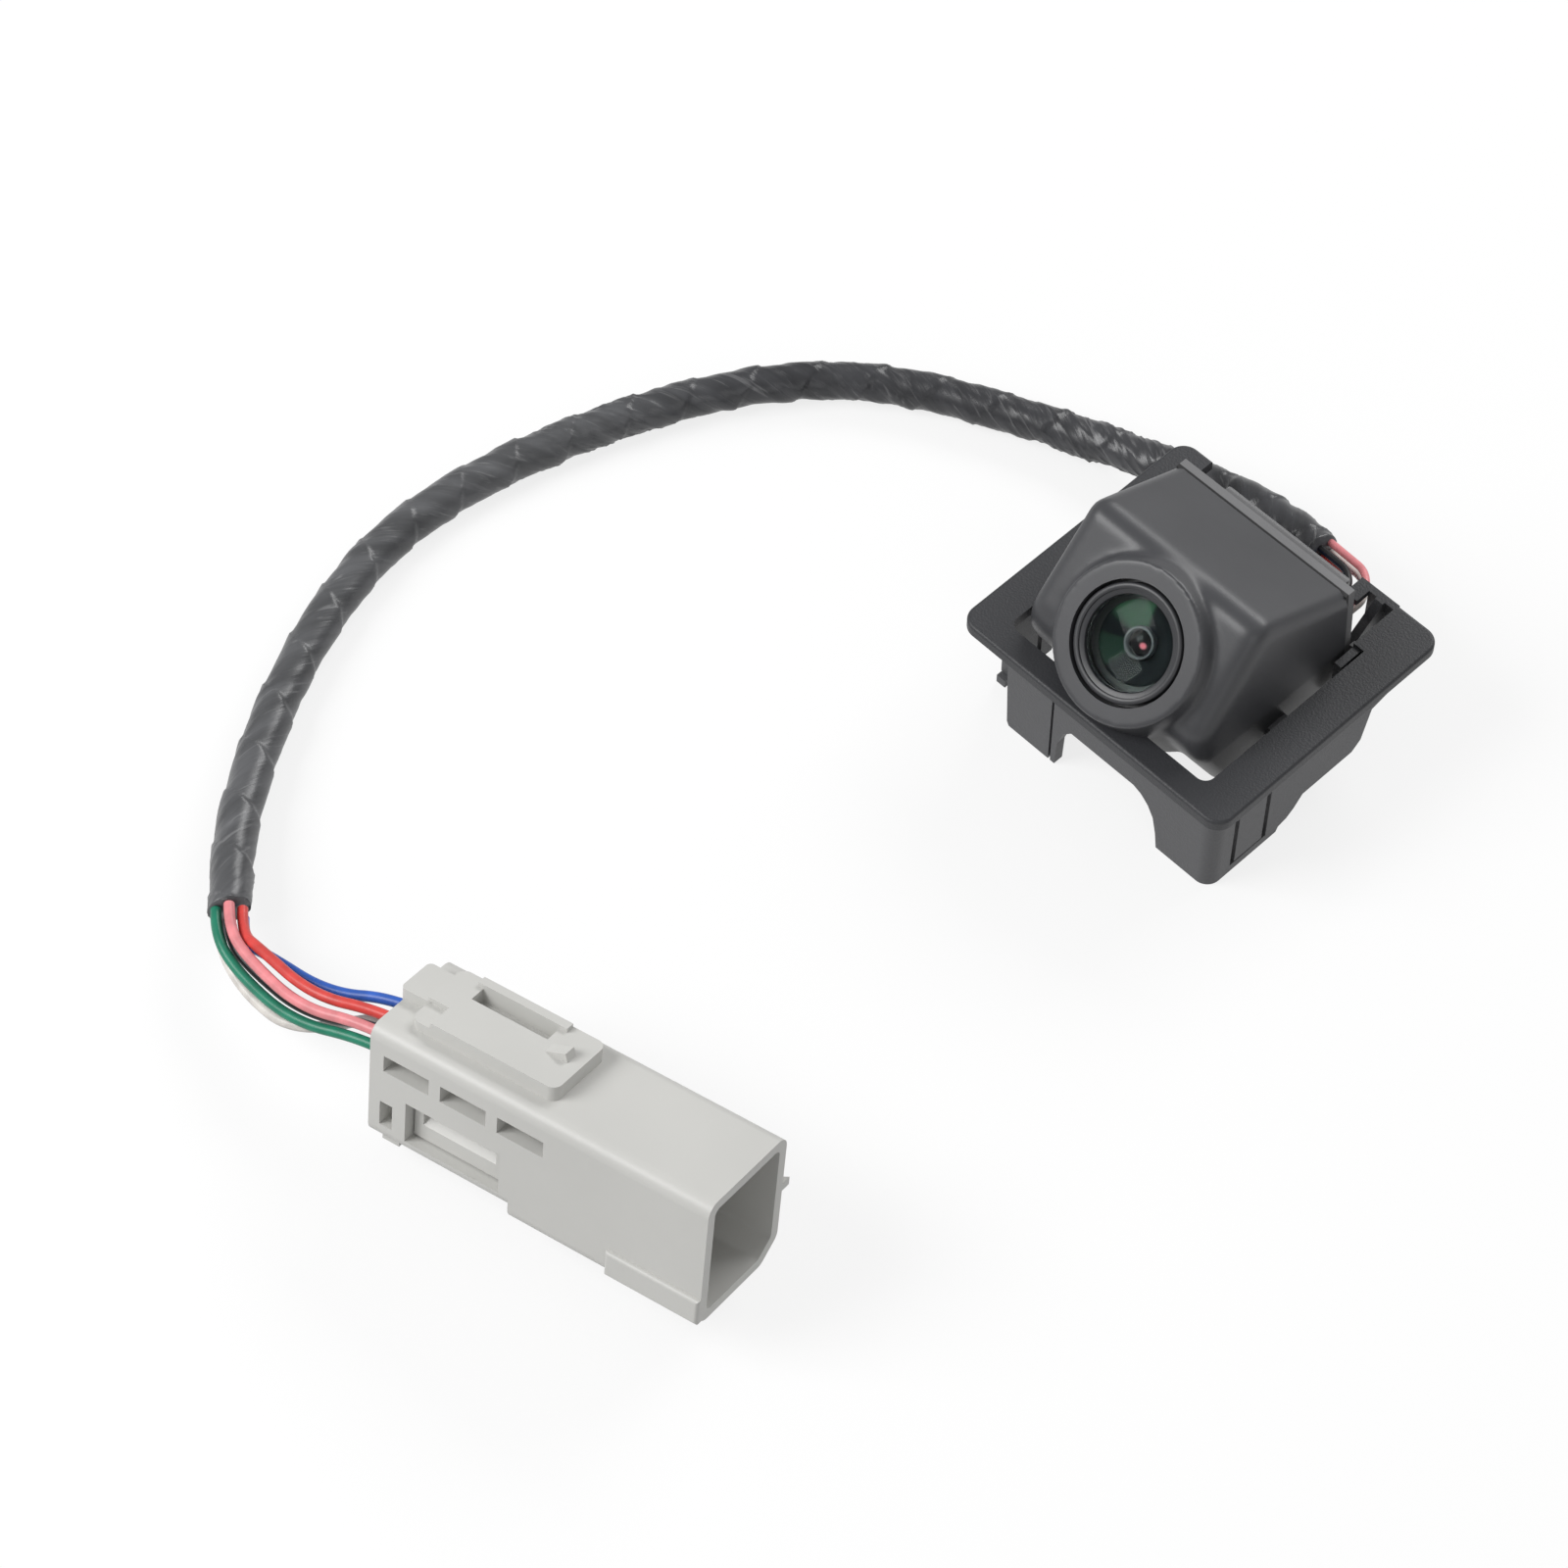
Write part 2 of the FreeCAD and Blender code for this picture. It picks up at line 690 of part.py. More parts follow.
lockX0 = 6.2
lockX1 = 20.6
lockZ0 = 4.2
lockZ1 = 10.2
lockBack = -halfPlug + 6.0
sealX = 3.0
pinHigh = 14.2
pinLow = 11.6
pinPitch = 3.2
wireSpots = [(c * pinPitch, z) for z in (pinHigh, pinLow) for c in (-1, 0, 1)]


def buildHousing():
    rear = plugSection(0, plugStepX + 3, 0, plugStep)
    front = plugSection(plugStepX, plugLong, 0, 0)
    body = rear.fuse(front).fuse(clipPlate())
    body = body.cut(plugSection(plugMouth, plugLong + 2, plugWall, 0))
    for c in plugWindows():
        body = body.cut(c)
    rail = roundRail(38.0, plugLong, -halfPlug - 0.6, -halfPlug + 0.6, 0.5, 4.6)
    wing = prismWing()
    foot = box(1.5, 4.2, -halfPlug + 1.2, -halfPlug + 4.0, plugStep - 0.9, plugStep + 0.5)
    body = body.fuse(rail).fuse(wing).fuse(foot)
    body = body.cut(sealPocket(0))
    for y, z in wireSpots:
        body = body.cut(cyl(0.85, plugMouth, V(sealX - 0.1, y, z), V(1, 0, 0)))
    for x in (8.0, 14.0):
        body = body.cut(box(x, x + 3, halfPlug - 1.0, halfPlug + 1, 11.0, 15.0))
    return onPlug(body.removeSplitter())


def roundRail(x0, x1, y0, y1, z0, z1):
    b = box(x0, x1, y0, y1, z0, z1)
    return softened(b, 0.5, lambda e: e.BoundBox.YMax < y0 + 0.01)


def prismWing():
    near = halfPlug - 0.6
    tip = plugLong - 0.6
    ring = [V(47.5, near, 9.4), V(tip, near, 9.4), V(tip, halfPlug + 2.6, 9.4)]
    face = Part.Face(Part.makePolygon(ring + [ring[0]]))
    return face.extrude(V(0, 0, 1.3))


def sealPocket(shrink):
    b = box(-1, sealX, -5.6 + shrink, 5.6 - shrink, 9.6 + shrink, 16.2 - shrink)
    edges = [e for e in b.Edges if abs(e.tangentAt(e.FirstParameter).x) > 0.9]
    return b.makeFillet(1.6, edges)


def buildRearSeal():
    seal = sealPocket(0).common(box(0.6, sealX, -9, 9, 0, 30))
    for y, z in wireSpots:
        seal = seal.cut(cyl(wireD / 2, 6, V(-1, y, z), V(1, 0, 0)))
    return onPlug(seal)


def buildPins():
    pins = []
    for y, z in wireSpots:
        blade = box(plugMouth - 6, plugMouth + 10.5, y - 0.5, y + 0.5, z - 0.4, z + 0.4)
        blade = softened(blade, 0.25, lambda e: e.BoundBox.XMin > plugMouth + 10.4)
        barrel = cyl(0.85, plugMouth - 6 - 8.0, V(8.0, y, z), V(1, 0, 0))
        pins.append(blade.fuse(barrel))
    return onPlug(Part.makeCompound(pins))


def buildLock():
    near = -halfPlug + 1.7
    body = box(lockX0, lockX1, near, lockBack, lockZ0, lockZ1)
    scoop = [(near - 1, lockZ0 + 1.4), (near + 2.6, lockZ1 - 1.2), (near - 1, lockZ1 - 1.2)]
    body = body.cut(prismX(scoop, lockX0 + 1.4, lockX1 - 1.4))
    return onPlug(body)


def plugPoint(x, y, z):
    turn = FreeCAD.Rotation(plugYaw, plugPitch, plugRoll)
    p = FreeCAD.Placement(plugPlace, turn).multVec(V(x, y, z))
    return (p.x, p.y, p.z)


# Routes
sleeveRoute = [(0.6, 24.1, 14.2), (-5.6, 25.2, 12.8), (-12.0, 25.9, 10.9), (-19.0, 25.9, 8.6),
               (-26.0, 25.5, 6.5), (-33.5, 24.2, 4.7), (-42.5, 21.6, 3.4), (-54.0, 16.8, 3.0),
               (-66.6, 10.4, 3.0), (-77.4, 1.0, 3.0), (-85.6, -11.6, 3.0), (-91.9, -26.6, 3.0),
               (-96.6, -42.6, 3.0), (-98.2, -59.0, 3.0), (-95.2, -73.4, 3.0), (-88.8, -88.6, 3.0),
               (-80.5, -101.6, 3.5), (-72.2, -112.0, 4.6), (-63.2, -119.6, 6.4)]
names = ["pink", "red", "blue", "green", "black", "white"]
leadNames = ["blue", "black", "pink", "green", "red", "white"]
leadBend = 2.5


def sleeveFrame(end):
    a = V(*sleeveRoute[-1 if end else 0])
    b = V(*sleeveRoute[-2 if end else 1])
    out = (a - b).normalize()
    side = out.cross(V(0, 0, 1)).normalize()
    up = side.cross(out)
    return a, out, side, up


def sleeveSpot(end, u, w):
    a, out, side, up = sleeveFrame(end)
    p = a + side * u + up * w
    return p, out


wirePlan = {
    "pink": ((-0.2, 1.9), (-pinPitch, pinHigh), [(-54.2, -123.4, 9.4), (-42.6, -124.2, 12.0)]),
    "red": ((-1.8, 0.8), (0.0, pinHigh), [(-54.6, -121.4, 9.8), (-42.4, -122.2, 12.9)]),
    "blue": ((-1.8, -1.1), (pinPitch, pinHigh), [(-54.4, -120.4, 7.2), (-42.8, -119.4, 9.8)]),
    "green": ((1.7, 0.9), (-pinPitch, pinLow), [(-54.6, -125.2, 7.6), (-43.0, -125.6, 9.6)]),
    "black": ((0.0, 0.0), (0.0, pinLow), [(-54.2, -123.4, 7.2), (-42.6, -123.6, 9.6)]),
    "white": ((1.5, -1.2), (pinPitch, pinLow), [(-53.3, -125.6, 4.6), (-42.6, -125.6, 7.0)]),
}


def wireRoute(name):
    (u, w), (y, z), middle = wirePlan[name]
    p0, out = sleeveSpot(True, u, w)
    p1 = p0 + out * 4.5
    inward = plugPoint(-5.0, y, z)
    end = plugPoint(0.6, y, z)
    return [tuple(p0), tuple(p1)] + middle + [inward, end]


def leadRoute(i):
    x, z = leadSpots[i]
    col = i % 3
    u, w = ((1 - col) * 1.75, 0.95 if i < 3 else -0.95)
    a, out, side, up = sleeveFrame(False)
    end = a + side * u + up * w
    before = end + out * ((x - leadBend - end.x) / out.x)
    turn = V(x, before.y - leadBend, z)
    return [(x, leadY, z), tuple(turn), tuple(before), tuple(end)]


# Export
save("bezel_frame", buildBezel())
save("snap_finger_right", buildFinger(1))
save("snap_finger_left", buildFinger(-1))
save("camera_hood", buildHood())
save("cover_gasket", buildGasket())
save("rear_cover", buildCover())
save("cover_screws", buildCoverScrews())
save("hood_screws", buildHoodScrews())
save("cable_grommet", buildGrommet())
save("lead_stubs", buildLeadStubs())
save("lead_plug", buildInnerPlug())
save("lens_retainer", buildRetainer())
save("lens_seal", buildSeal())
save("lens_barrel", buildBarrel())
save("front_lens", buildFrontLens())
save("lens_tube", buildInnerTube())
save("second_lens", buildSecondLens())
save("aperture_stop", buildStop())
save("rear_lens", buildRearLens())
save("rear_tube", buildRearTube())
save("infrared_filter", buildFilter())
save("sensor_mount", buildBarrelFoot())
save("image_sensor", buildSensor())
save("sensor_board", buildSensorBoard())
save("board_header", buildHeader())
save("power_board", buildPowerBoard())
save("board_screws", buildBoardScrews())
save("harness_sleeve", cord(sleeveRoute, sleeveD, "sleeve"))
for name in names:
    save("wire_" + name, cord(wireRoute(name), wireD, name))
for i, name in enumerate(leadNames):
    save("lead_" + name, cord(leadRoute(i), leadD, "lead " + name))
save("connector_housing", buildHousing())
save("rear_seal", buildRearSeal())
save("terminal_pins", buildPins())
save("terminal_lock", buildLock())
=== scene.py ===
import bpy
import json
import math
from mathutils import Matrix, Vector, noise


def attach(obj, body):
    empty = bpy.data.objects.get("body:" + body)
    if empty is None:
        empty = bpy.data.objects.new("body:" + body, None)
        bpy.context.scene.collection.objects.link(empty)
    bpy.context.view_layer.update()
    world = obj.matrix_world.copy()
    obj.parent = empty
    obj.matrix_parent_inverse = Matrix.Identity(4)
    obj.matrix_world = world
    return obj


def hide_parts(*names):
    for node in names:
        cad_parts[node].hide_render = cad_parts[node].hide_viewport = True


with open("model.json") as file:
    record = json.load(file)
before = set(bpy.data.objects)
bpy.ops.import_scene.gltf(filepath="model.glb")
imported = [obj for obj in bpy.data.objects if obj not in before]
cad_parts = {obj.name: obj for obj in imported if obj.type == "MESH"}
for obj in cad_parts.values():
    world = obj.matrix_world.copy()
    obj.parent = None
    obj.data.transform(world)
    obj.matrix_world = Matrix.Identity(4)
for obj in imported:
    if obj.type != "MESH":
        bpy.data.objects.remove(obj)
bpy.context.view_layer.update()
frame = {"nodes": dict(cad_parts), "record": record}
nodes = frame["nodes"]
scene = bpy.context.scene
scene.view_settings.view_transform = "Standard"
print("frame loaded,", len(nodes), "nodes")

# camera
cameraPlan = {"azimuth": 45.999, "elevation": 55.949, "distance": 0.62645, "lens": 105.0, "sensor": 36.0,
              "nearest": 0.01, "target": (-0.03008, -0.04922, 0.0)}


def addCamera(plan):
    az = math.radians(plan["azimuth"])
    el = math.radians(plan["elevation"])
    look = Vector((-math.sin(az) * math.cos(el), math.cos(az) * math.cos(el), -math.sin(el)))
    data = bpy.data.cameras.new("camera")
    data.lens = plan["lens"]
    data.sensor_width = plan["sensor"]
    data.clip_start = plan["nearest"]
    cam = bpy.data.objects.new("camera", data)
    scene.collection.objects.link(cam)
    cam.location = Vector(plan["target"]) - look * plan["distance"]
    cam.rotation_euler = (math.pi / 2 - el, 0.0, az)
    scene.camera = cam
    return cam


addCamera(cameraPlan)


def deselectAll():
    bpy.ops.object.select_all(action="DESELECT")


def makeActive(obj):
    deselectAll()
    obj.select_set(True)
    bpy.context.view_layer.objects.active = obj


def settle(obj):
    # put the place into the mesh, so the object sits at the origin
    makeActive(obj)
    bpy.ops.object.transform_apply(location=True, rotation=True, scale=True)


def applyAll(obj):
    makeActive(obj)
    for mod in list(obj.modifiers):
        bpy.ops.object.modifier_apply(modifier=mod.name)


def smoothByAngle(obj, degrees):
    makeActive(obj)
    bpy.ops.object.shade_smooth_by_angle(angle=math.radians(degrees))


# cords: routes in metres, from the camera to the connector
curvePlan = {"steps": 24, "roundness": 6, "order": 3}
harnessPlan = {"diameter": 0.0058, "ring": 64, "step": 0.00036, "twist": 330.0, "stretch": 0.22,
               "unitsAlong": 20.0, "paleFrom": 0.095, "paleRun": 0.03}
harnessRoute = [(0.0006, 0.0241, 0.0142), (-0.0056, 0.0252, 0.0128), (-0.012, 0.0259, 0.0109),
                (-0.019, 0.0259, 0.0086), (-0.026, 0.0255, 0.0065), (-0.0335, 0.0242, 0.0047),
                (-0.0425, 0.0216, 0.0034), (-0.054, 0.0168, 0.003), (-0.0666, 0.0104, 0.003),
                (-0.0774, 0.001, 0.003), (-0.0856, -0.0116, 0.003), (-0.0919, -0.0266, 0.003),
                (-0.0966, -0.0426, 0.003), (-0.0982, -0.059, 0.003), (-0.0952, -0.0734, 0.003),
                (-0.0888, -0.0886, 0.003), (-0.0805, -0.1016, 0.0035), (-0.0722, -0.112, 0.0046),
                (-0.0632, -0.1196, 0.0064)]
wireRoutes = {
    "pink": [(-0.0633, -0.1193, 0.0083), (-0.0599, -0.1221, 0.009), (-0.0542, -0.1234, 0.0094),
             (-0.0426, -0.1242, 0.012), (-0.0336, -0.1207, 0.0147), (-0.0281, -0.1196, 0.0153)],
    "red": [(-0.0621, -0.1181, 0.0072), (-0.0587, -0.121, 0.0079), (-0.0546, -0.1214, 0.0098),
            (-0.0424, -0.1222, 0.0129), (-0.0341, -0.1177, 0.0138), (-0.0287, -0.1165, 0.0144)],
    "blue": [(-0.0619, -0.1183, 0.0053), (-0.0585, -0.1212, 0.006), (-0.0544, -0.1204, 0.0072),
             (-0.0428, -0.1194, 0.0098), (-0.0347, -0.1147, 0.0129), (-0.0292, -0.1135, 0.0135)],
    "green": [(-0.0644, -0.1208, 0.0073), (-0.061, -0.1237, 0.008), (-0.0546, -0.1252, 0.0076),
              (-0.043, -0.1256, 0.0096), (-0.0332, -0.1214, 0.0122), (-0.0277, -0.1202, 0.0128)],
    "black": [(-0.0632, -0.1196, 0.0064), (-0.0598, -0.1225, 0.0071), (-0.0542, -0.1234, 0.0072),
              (-0.0426, -0.1236, 0.0096), (-0.0337, -0.1184, 0.0113), (-0.0283, -0.1172, 0.0119)],
    "white": [(-0.064, -0.1209, 0.0052), (-0.0606, -0.1237, 0.0059), (-0.0533, -0.1256, 0.0046),
              (-0.0426, -0.1256, 0.007), (-0.0343, -0.1153, 0.0104), (-0.0288, -0.1142, 0.011)],
}


def routeCurve(name, points, radius):
    # the points carry the radius, so that the curve's box stays as small as its tube
    data = bpy.data.curves.new(name, "CURVE")
    data.dimensions = "3D"
    data.resolution_u = curvePlan["steps"]
    data.bevel_depth = 1.0 if radius > 0 else 0.0
    data.bevel_resolution = curvePlan["roundness"]
    data.use_fill_caps = radius > 0
    spline = data.splines.new("NURBS")
    spline.points.add(len(points) - 1)
    for point, place in zip(spline.points, points):
        point.co = (*place, 1.0)
        point.radius = radius
    spline.order_u = curvePlan["order"]
    spline.use_endpoint_u = True
    obj = bpy.data.objects.new(name, data)
    scene.collection.objects.link(obj)
    return obj


def centreLine(points):
    # the points of the route's own smooth spline
    guide = routeCurve("guide", points, 0.0)
    bpy.context.view_layer.update()
    mesh = bpy.data.meshes.new_from_object(guide)
    line = [v.co.copy() for v in mesh.vertices]
    bpy.data.objects.remove(guide)
    bpy.data.meshes.remove(mesh)
    return line


def evenly(line, step):
    # points at even steps along the line, and its length
    total = sum((b - a).length for a, b in zip(line, line[1:]))
    count = max(8, round(total / step))
    gap = total / count
    out = [line[0].copy()]
    want = gap
    run = 0.0
    for a, b in zip(line, line[1:]):
        span = (b - a).length
        while want <= run + span + 1e-9 and len(out) < count:
            out.append(a.lerp(b, (want - run) / span))
            want += gap
        run += span
    out.append(line[-1].copy())
    return out, total


def frames(path):
    # one steady frame per point, carried along without twist
    result = []
    side = None
    for i, p in enumerate(path):
        a = path[max(0, i - 1)]
        b = path[min(len(path) - 1, i + 1)]
        ahead = (b - a).normalized()
        if side is None:
            side = ahead.cross(Vector((0, 0, 1))).normalized()
        side = (side - ahead * side.dot(ahead)).normalized()
        result.append((p, ahead, side, ahead.cross(side)))
    return result


def addTube(name, path, ring, radiusAt):
    # a closed tube with a UV map, u along and v once around, and its places on the wound tape
    rows = frames(path)
    verts = []
    along = [0.0]
    for a, b in zip(path, path[1:]):
        along.append(along[-1] + (b - a).length)
    for (p, ahead, side, up), s in zip(rows, along):
        for k in range(ring):
            turn = 2 * math.pi * k / ring
            r, push = radiusAt(s, turn, along[-1])
            verts.append(p + (side * math.cos(turn) + up * math.sin(turn)) * r + ahead * push)
    faces = []
    for i in range(len(path) - 1):
        for k in range(ring):
            n = (k + 1) % ring
            faces.append((i * ring + k, (i + 1) * ring + k, (i + 1) * ring + n, i * ring + n))
    faces.append(tuple(range(ring)))
    faces.append(tuple(reversed(range((len(path) - 1) * ring, len(path) * ring))))
    mesh = bpy.data.meshes.new(name)
    mesh.from_pydata([tuple(v) for v in verts], [], faces)
    layer = mesh.uv_layers.new(name="along")
    for poly in mesh.polygons:
        for loop in poly.loop_indices:
            vert = mesh.loops[loop].vertex_index
            i, k = divmod(vert, ring)
            v = k / ring
            if v == 0.0 and poly.index < (len(path) - 1) * ring and poly.index % ring == ring - 1:
                v = 1.0
            layer.data[loop].uv = (along[i] * harnessPlan["unitsAlong"], v)
    wind = mesh.attributes.new("wind", "FLOAT_VECTOR", "POINT")
    for i, s in enumerate(along):
        for k in range(ring):
            wind.data[i * ring + k].vector = windSpot(s, 2 * math.pi * k / ring)
    mesh.validate()
    obj = bpy.data.objects.new(name, mesh)
    scene.collection.objects.link(obj)
    makeActive(obj)
    bpy.ops.object.mode_set(mode="EDIT")
    bpy.ops.mesh.select_all(action="SELECT")
    bpy.ops.mesh.normals_make_consistent(inside=False)
    bpy.ops.object.mode_set(mode="OBJECT")
    bpy.ops.object.shade_smooth()
    return obj


def windSpot(s, turn):
    # a place on the tape, drawn out along its slant
    plan = harnessPlan
    at = turn - s * plan["twist"]
    r = plan["diameter"] / 2
    return Vector((math.cos(at) * r, math.sin(at) * r, s * plan["stretch"]))


def limited(value):
    return min(1.0, max(0.0, value))


# each lap steps up at its edge and fades out; the far half lies calmer and fuller than the half at the camera
tapePlan = {"inset": 0.00022, "pitch": 0.0091, "wander": 0.05, "wanderGrain": 300,
            "edge": 0.00026, "edgeFade": 1.15, "edgeRise": 26,
            "crease": 0.00026, "creaseGrain": 420, "fold": 0.00022, "foldGrain": 760, "foldWidth": 3.4,
            "calmGrain": 38, "calmBase": 0.5, "calmSwing": 1.6, "calmFrom": 0.115, "calmRun": 0.03,
            "creaseCalm": 0.4, "foldCalm": 0.65,
            "flat": 0.03, "flatTurn": 16, "bulk": 0.0003, "bulkSide": 0.4}
tapeEnds = {"collar": 0.0185, "collarWave": 0.0006, "collarRise": 2500, "collarHigh": 0.00022,
            "tail": 0.0025, "slant": 0.0009, "slantTurn": 0.6, "rag": 0.25, "ragGrain": 900}


def lapHeight(s, turn, spot):
    plan = tapePlan
    wander = plan["wander"] * noise.noise(spot * plan["wanderGrain"])
    lap = (s / plan["pitch"] + turn / (2 * math.pi) + wander) % 1.0
    return plan["edge"] * max(0.0, 1.0 - lap * plan["edgeFade"]) * min(1.0, lap * plan["edgeRise"])


def creaseHeight(s, spot, late):
    plan = tapePlan
    crease = noise.noise(spot * plan["creaseGrain"]) * plan["crease"] * (1 - plan["creaseCalm"] * late)
    shifted = spot * plan["foldGrain"] + Vector((7, 3, 1))
    sharp = 1.0 - min(1.0, abs(noise.noise(shifted)) * plan["foldWidth"])
    change = noise.noise(Vector((s * plan["calmGrain"], 5.0, 2.0)))
    calm = limited(plan["calmBase"] + plan["calmSwing"] * change)
    fold = plan["fold"] * sharp * sharp * calm * (1 - plan["foldCalm"] * late)
    return crease + fold


def collarHeight(s, turn):
    plan = tapeEnds
    edge = plan["collar"] + plan["collarWave"] * math.cos(turn)
    return plan["collarHigh"] * limited((edge - s) * plan["collarRise"])


def tailPush(s, turn, total, spot):
    # the last turn of tape ends on a ragged slant
    plan = tapeEnds
    tail = limited(1.0 - (total - s) / plan["tail"])
    rag = 1 + plan["rag"] * noise.noise(spot * plan["ragGrain"])
    return -tail * plan["slant"] * (1.0 - math.cos(turn + plan["slantTurn"])) * rag


def tapeRadius(s, turn, total):
    plan = tapePlan
    spot = windSpot(s, turn)
    late = limited((s - plan["calmFrom"]) / plan["calmRun"])
    bulk = plan["bulk"] * late * max(0.0, plan["bulkSide"] + math.sin(turn))
    flat = 1.0 - plan["flat"] * abs(math.sin(turn + s * plan["flatTurn"]))
    core = (harnessPlan["diameter"] / 2 - plan["inset"]) * flat
    r = core + lapHeight(s, turn, spot) + creaseHeight(s, spot, late) + collarHeight(s, turn) + bulk
    return r, tailPush(s, turn, total, spot)


harnessPath, harnessLong = evenly(centreLine(harnessRoute), harnessPlan["step"])
harness = addTube("harnessTape", harnessPath, harnessPlan["ring"], tapeRadius)
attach(harness, "kit")
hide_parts("harness_sleeve")

wireDiameter = 0.0015
wireStep = 0.001
wires = {}
for colour, route in wireRoutes.items():
    wire = routeCurve("wire" + colour.capitalize(), route, wireDiameter / 2)
    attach(wire, "kit")
    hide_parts("wire_" + colour)
    longTotal = evenly(centreLine(route), wireStep)[1]
    wires[colour] = wire
print("cords made, harness %.3f m" % harnessLong)


# camera hood: one smooth skin, with the lens boss growing out of it
hoodPlan = {"left": -0.0174, "right": 0.0154, "low": 0.007, "back": 0.012, "taperZ": 0.0175, "peak": 0.038,
            "topLeft": -0.0170, "topRight": 0.0141, "middleZ": 0.018,
            "section": ((0.012, 0.029), (-0.005, 0.037), (-0.017, 0.023), (-0.0164, 0.0185), (-0.010, 0.007)),
            "wall": 0.0018, "edge": 0.003, "edgeSteps": 8, "edgeAngle": 12, "voxel": 0.0003, "spare": 0.004,
            "coreSpare": 0.005, "smooth": 38}
lugPlan = {"outer": 0.0201, "inner": 0.0140, "front": -0.0028, "back": 0.0006, "low": 0.0124, "top": 0.0142,
           "hole": 0.00095, "holeX": 0.0191, "holeY": -0.0014, "holeLow": 0.01,
           "holeLong": 0.006}
screwPlan = {"x": (-0.0134, 0.0114), "z": (0.0106, 0.0244),
             "post": 0.0021, "postDeep": 0.006, "postLong": 0.012,
             "hole": 0.0009, "holeDeep": 0.005, "holeLong": 0.006}
lensPlan = {"face": (-0.00055, -0.01495, 0.0293), "tilt": 42.0,
            "boss": 0.0112, "waist": 0.0126, "base": 0.0150, "neck": 0.0046, "deep": 0.011,
            "bore": 0.0076, "boreDeep": 0.0125, "boreLong": 0.016, "seat": 0.0086, "seatDeep": 0.0024,
            "seatSpare": 0.003}
softPlan = {"wide": (0.0112, 0.0132), "far": (0.0165, 0.0215), "shallow": (0.0012, 0.0034),
            "deep": (0.013, 0.018), "high": (0.0185, 0.0215), "bossRounds": 90, "skinRounds": 6}
lensTilt = math.radians(lensPlan["tilt"])
lensTurn = math.radians(90 - lensPlan["tilt"])
lensAxis = Vector((0, -math.cos(lensTilt), math.sin(lensTilt)))
lensFace = Vector(lensPlan["face"])


def addBlock(name, low, high):
    deselectAll()
    low = Vector(low)
    high = Vector(high)
    bpy.ops.mesh.primitive_cube_add(size=1.0, location=(low + high) / 2)
    obj = bpy.context.active_object
    obj.name = name
    obj.scale = high - low
    settle(obj)
    return obj


def addRod(name, radius, start, along, long, sides=96, farRadius=None):
    deselectAll()
    along = Vector(along).normalized()
    turn = along.to_track_quat("Z", "Y").to_euler()
    far = radius if farRadius is None else farRadius
    bpy.ops.mesh.primitive_cone_add(vertices=sides, radius1=radius, radius2=far, depth=long,
                                    location=Vector(start) + along * long / 2, rotation=turn)
    obj = bpy.context.active_object
    obj.name = name
    settle(obj)
    return obj


def cutAway(obj, place, normal):
    # cut the mesh with a plane and drop what lies beyond it
    makeActive(obj)
    bpy.ops.object.mode_set(mode="EDIT")
    bpy.ops.mesh.select_all(action="SELECT")
    bpy.ops.mesh.bisect(plane_co=place, plane_no=normal, use_fill=True, clear_outer=True)
    bpy.ops.object.mode_set(mode="OBJECT")


def joinAll(objs):
    makeActive(objs[0])
    for obj in objs[1:]:
        obj.select_set(True)
    bpy.ops.object.join()
    return bpy.context.view_layer.objects.active


def combine(obj, tool, how):
    mod = obj.modifiers.new("cut", "BOOLEAN")
    mod.operation = how
    mod.solver = "EXACT"
    mod.object = tool
    applyAll(obj)
    bpy.data.objects.remove(tool)


def hoodBlock(name, inset, back):
    # the hood's plain block: its section cut across, then its sides tapered in
    plan = hoodPlan
    front = plan["section"][2][0]
    block = addBlock(name, (plan["left"] + inset, front + inset, plan["low"] + inset),
                     (plan["right"] - inset, back, plan["peak"]))
    ring = plan["section"]
    for (y0, z0), (y1, z1) in zip(ring, ring[1:]):
        normal = Vector((0, z0 - z1, y1 - y0)).normalized()
        normal = normal if normal.dot(Vector((0, y0, z0 - plan["middleZ"]))) > 0 else -normal
        cutAway(block, Vector((0, y0, z0)) - normal * inset, normal)
    for side, wide, top in ((-1, plan["left"], plan["topLeft"]), (1, plan["right"], plan["topRight"])):
        normal = Vector((side * (plan["peak"] - plan["taperZ"]), 0, abs(top - wide))).normalized()
        cutAway(block, Vector((wide, 0, plan["taperZ"])) - normal * inset, normal)
    return block


def bossParts():
    plan = lensPlan
    foot = lensFace - lensAxis * plan["deep"]
    waist = lensFace - lensAxis * plan["neck"]
    lowLong = plan["deep"] - plan["neck"]
    low = addRod("bossLow", plan["base"], foot, lensAxis, lowLong, farRadius=plan["waist"])
    top = addRod("bossTop", plan["waist"], waist, lensAxis, plan["neck"], farRadius=plan["boss"])
    return [low, top]


def lugBlock(side):
    plan = lugPlan
    x0, x1 = sorted((side * plan["outer"], side * plan["inner"]))
    return addBlock("lug", (x0, plan["front"], plan["low"]), (x1, plan["back"], plan["top"]))


def coverScrewRods(name, radius, deep, long, sides):
    # one rod at each cover screw, from inside the hood out through its back face
    start = hoodPlan["back"] - deep
    spots = [(x, start, z) for x in screwPlan["x"] for z in screwPlan["z"]]
    return [addRod(name, radius, spot, (0, 1, 0), long, sides) for spot in spots]


def lugScrewRods():
    plan = lugPlan
    spots = [(side * plan["holeX"], plan["holeY"], plan["holeLow"]) for side in (1, -1)]
    return [addRod("hole", plan["hole"], spot, (0, 0, 1), plan["holeLong"], 24) for spot in spots]


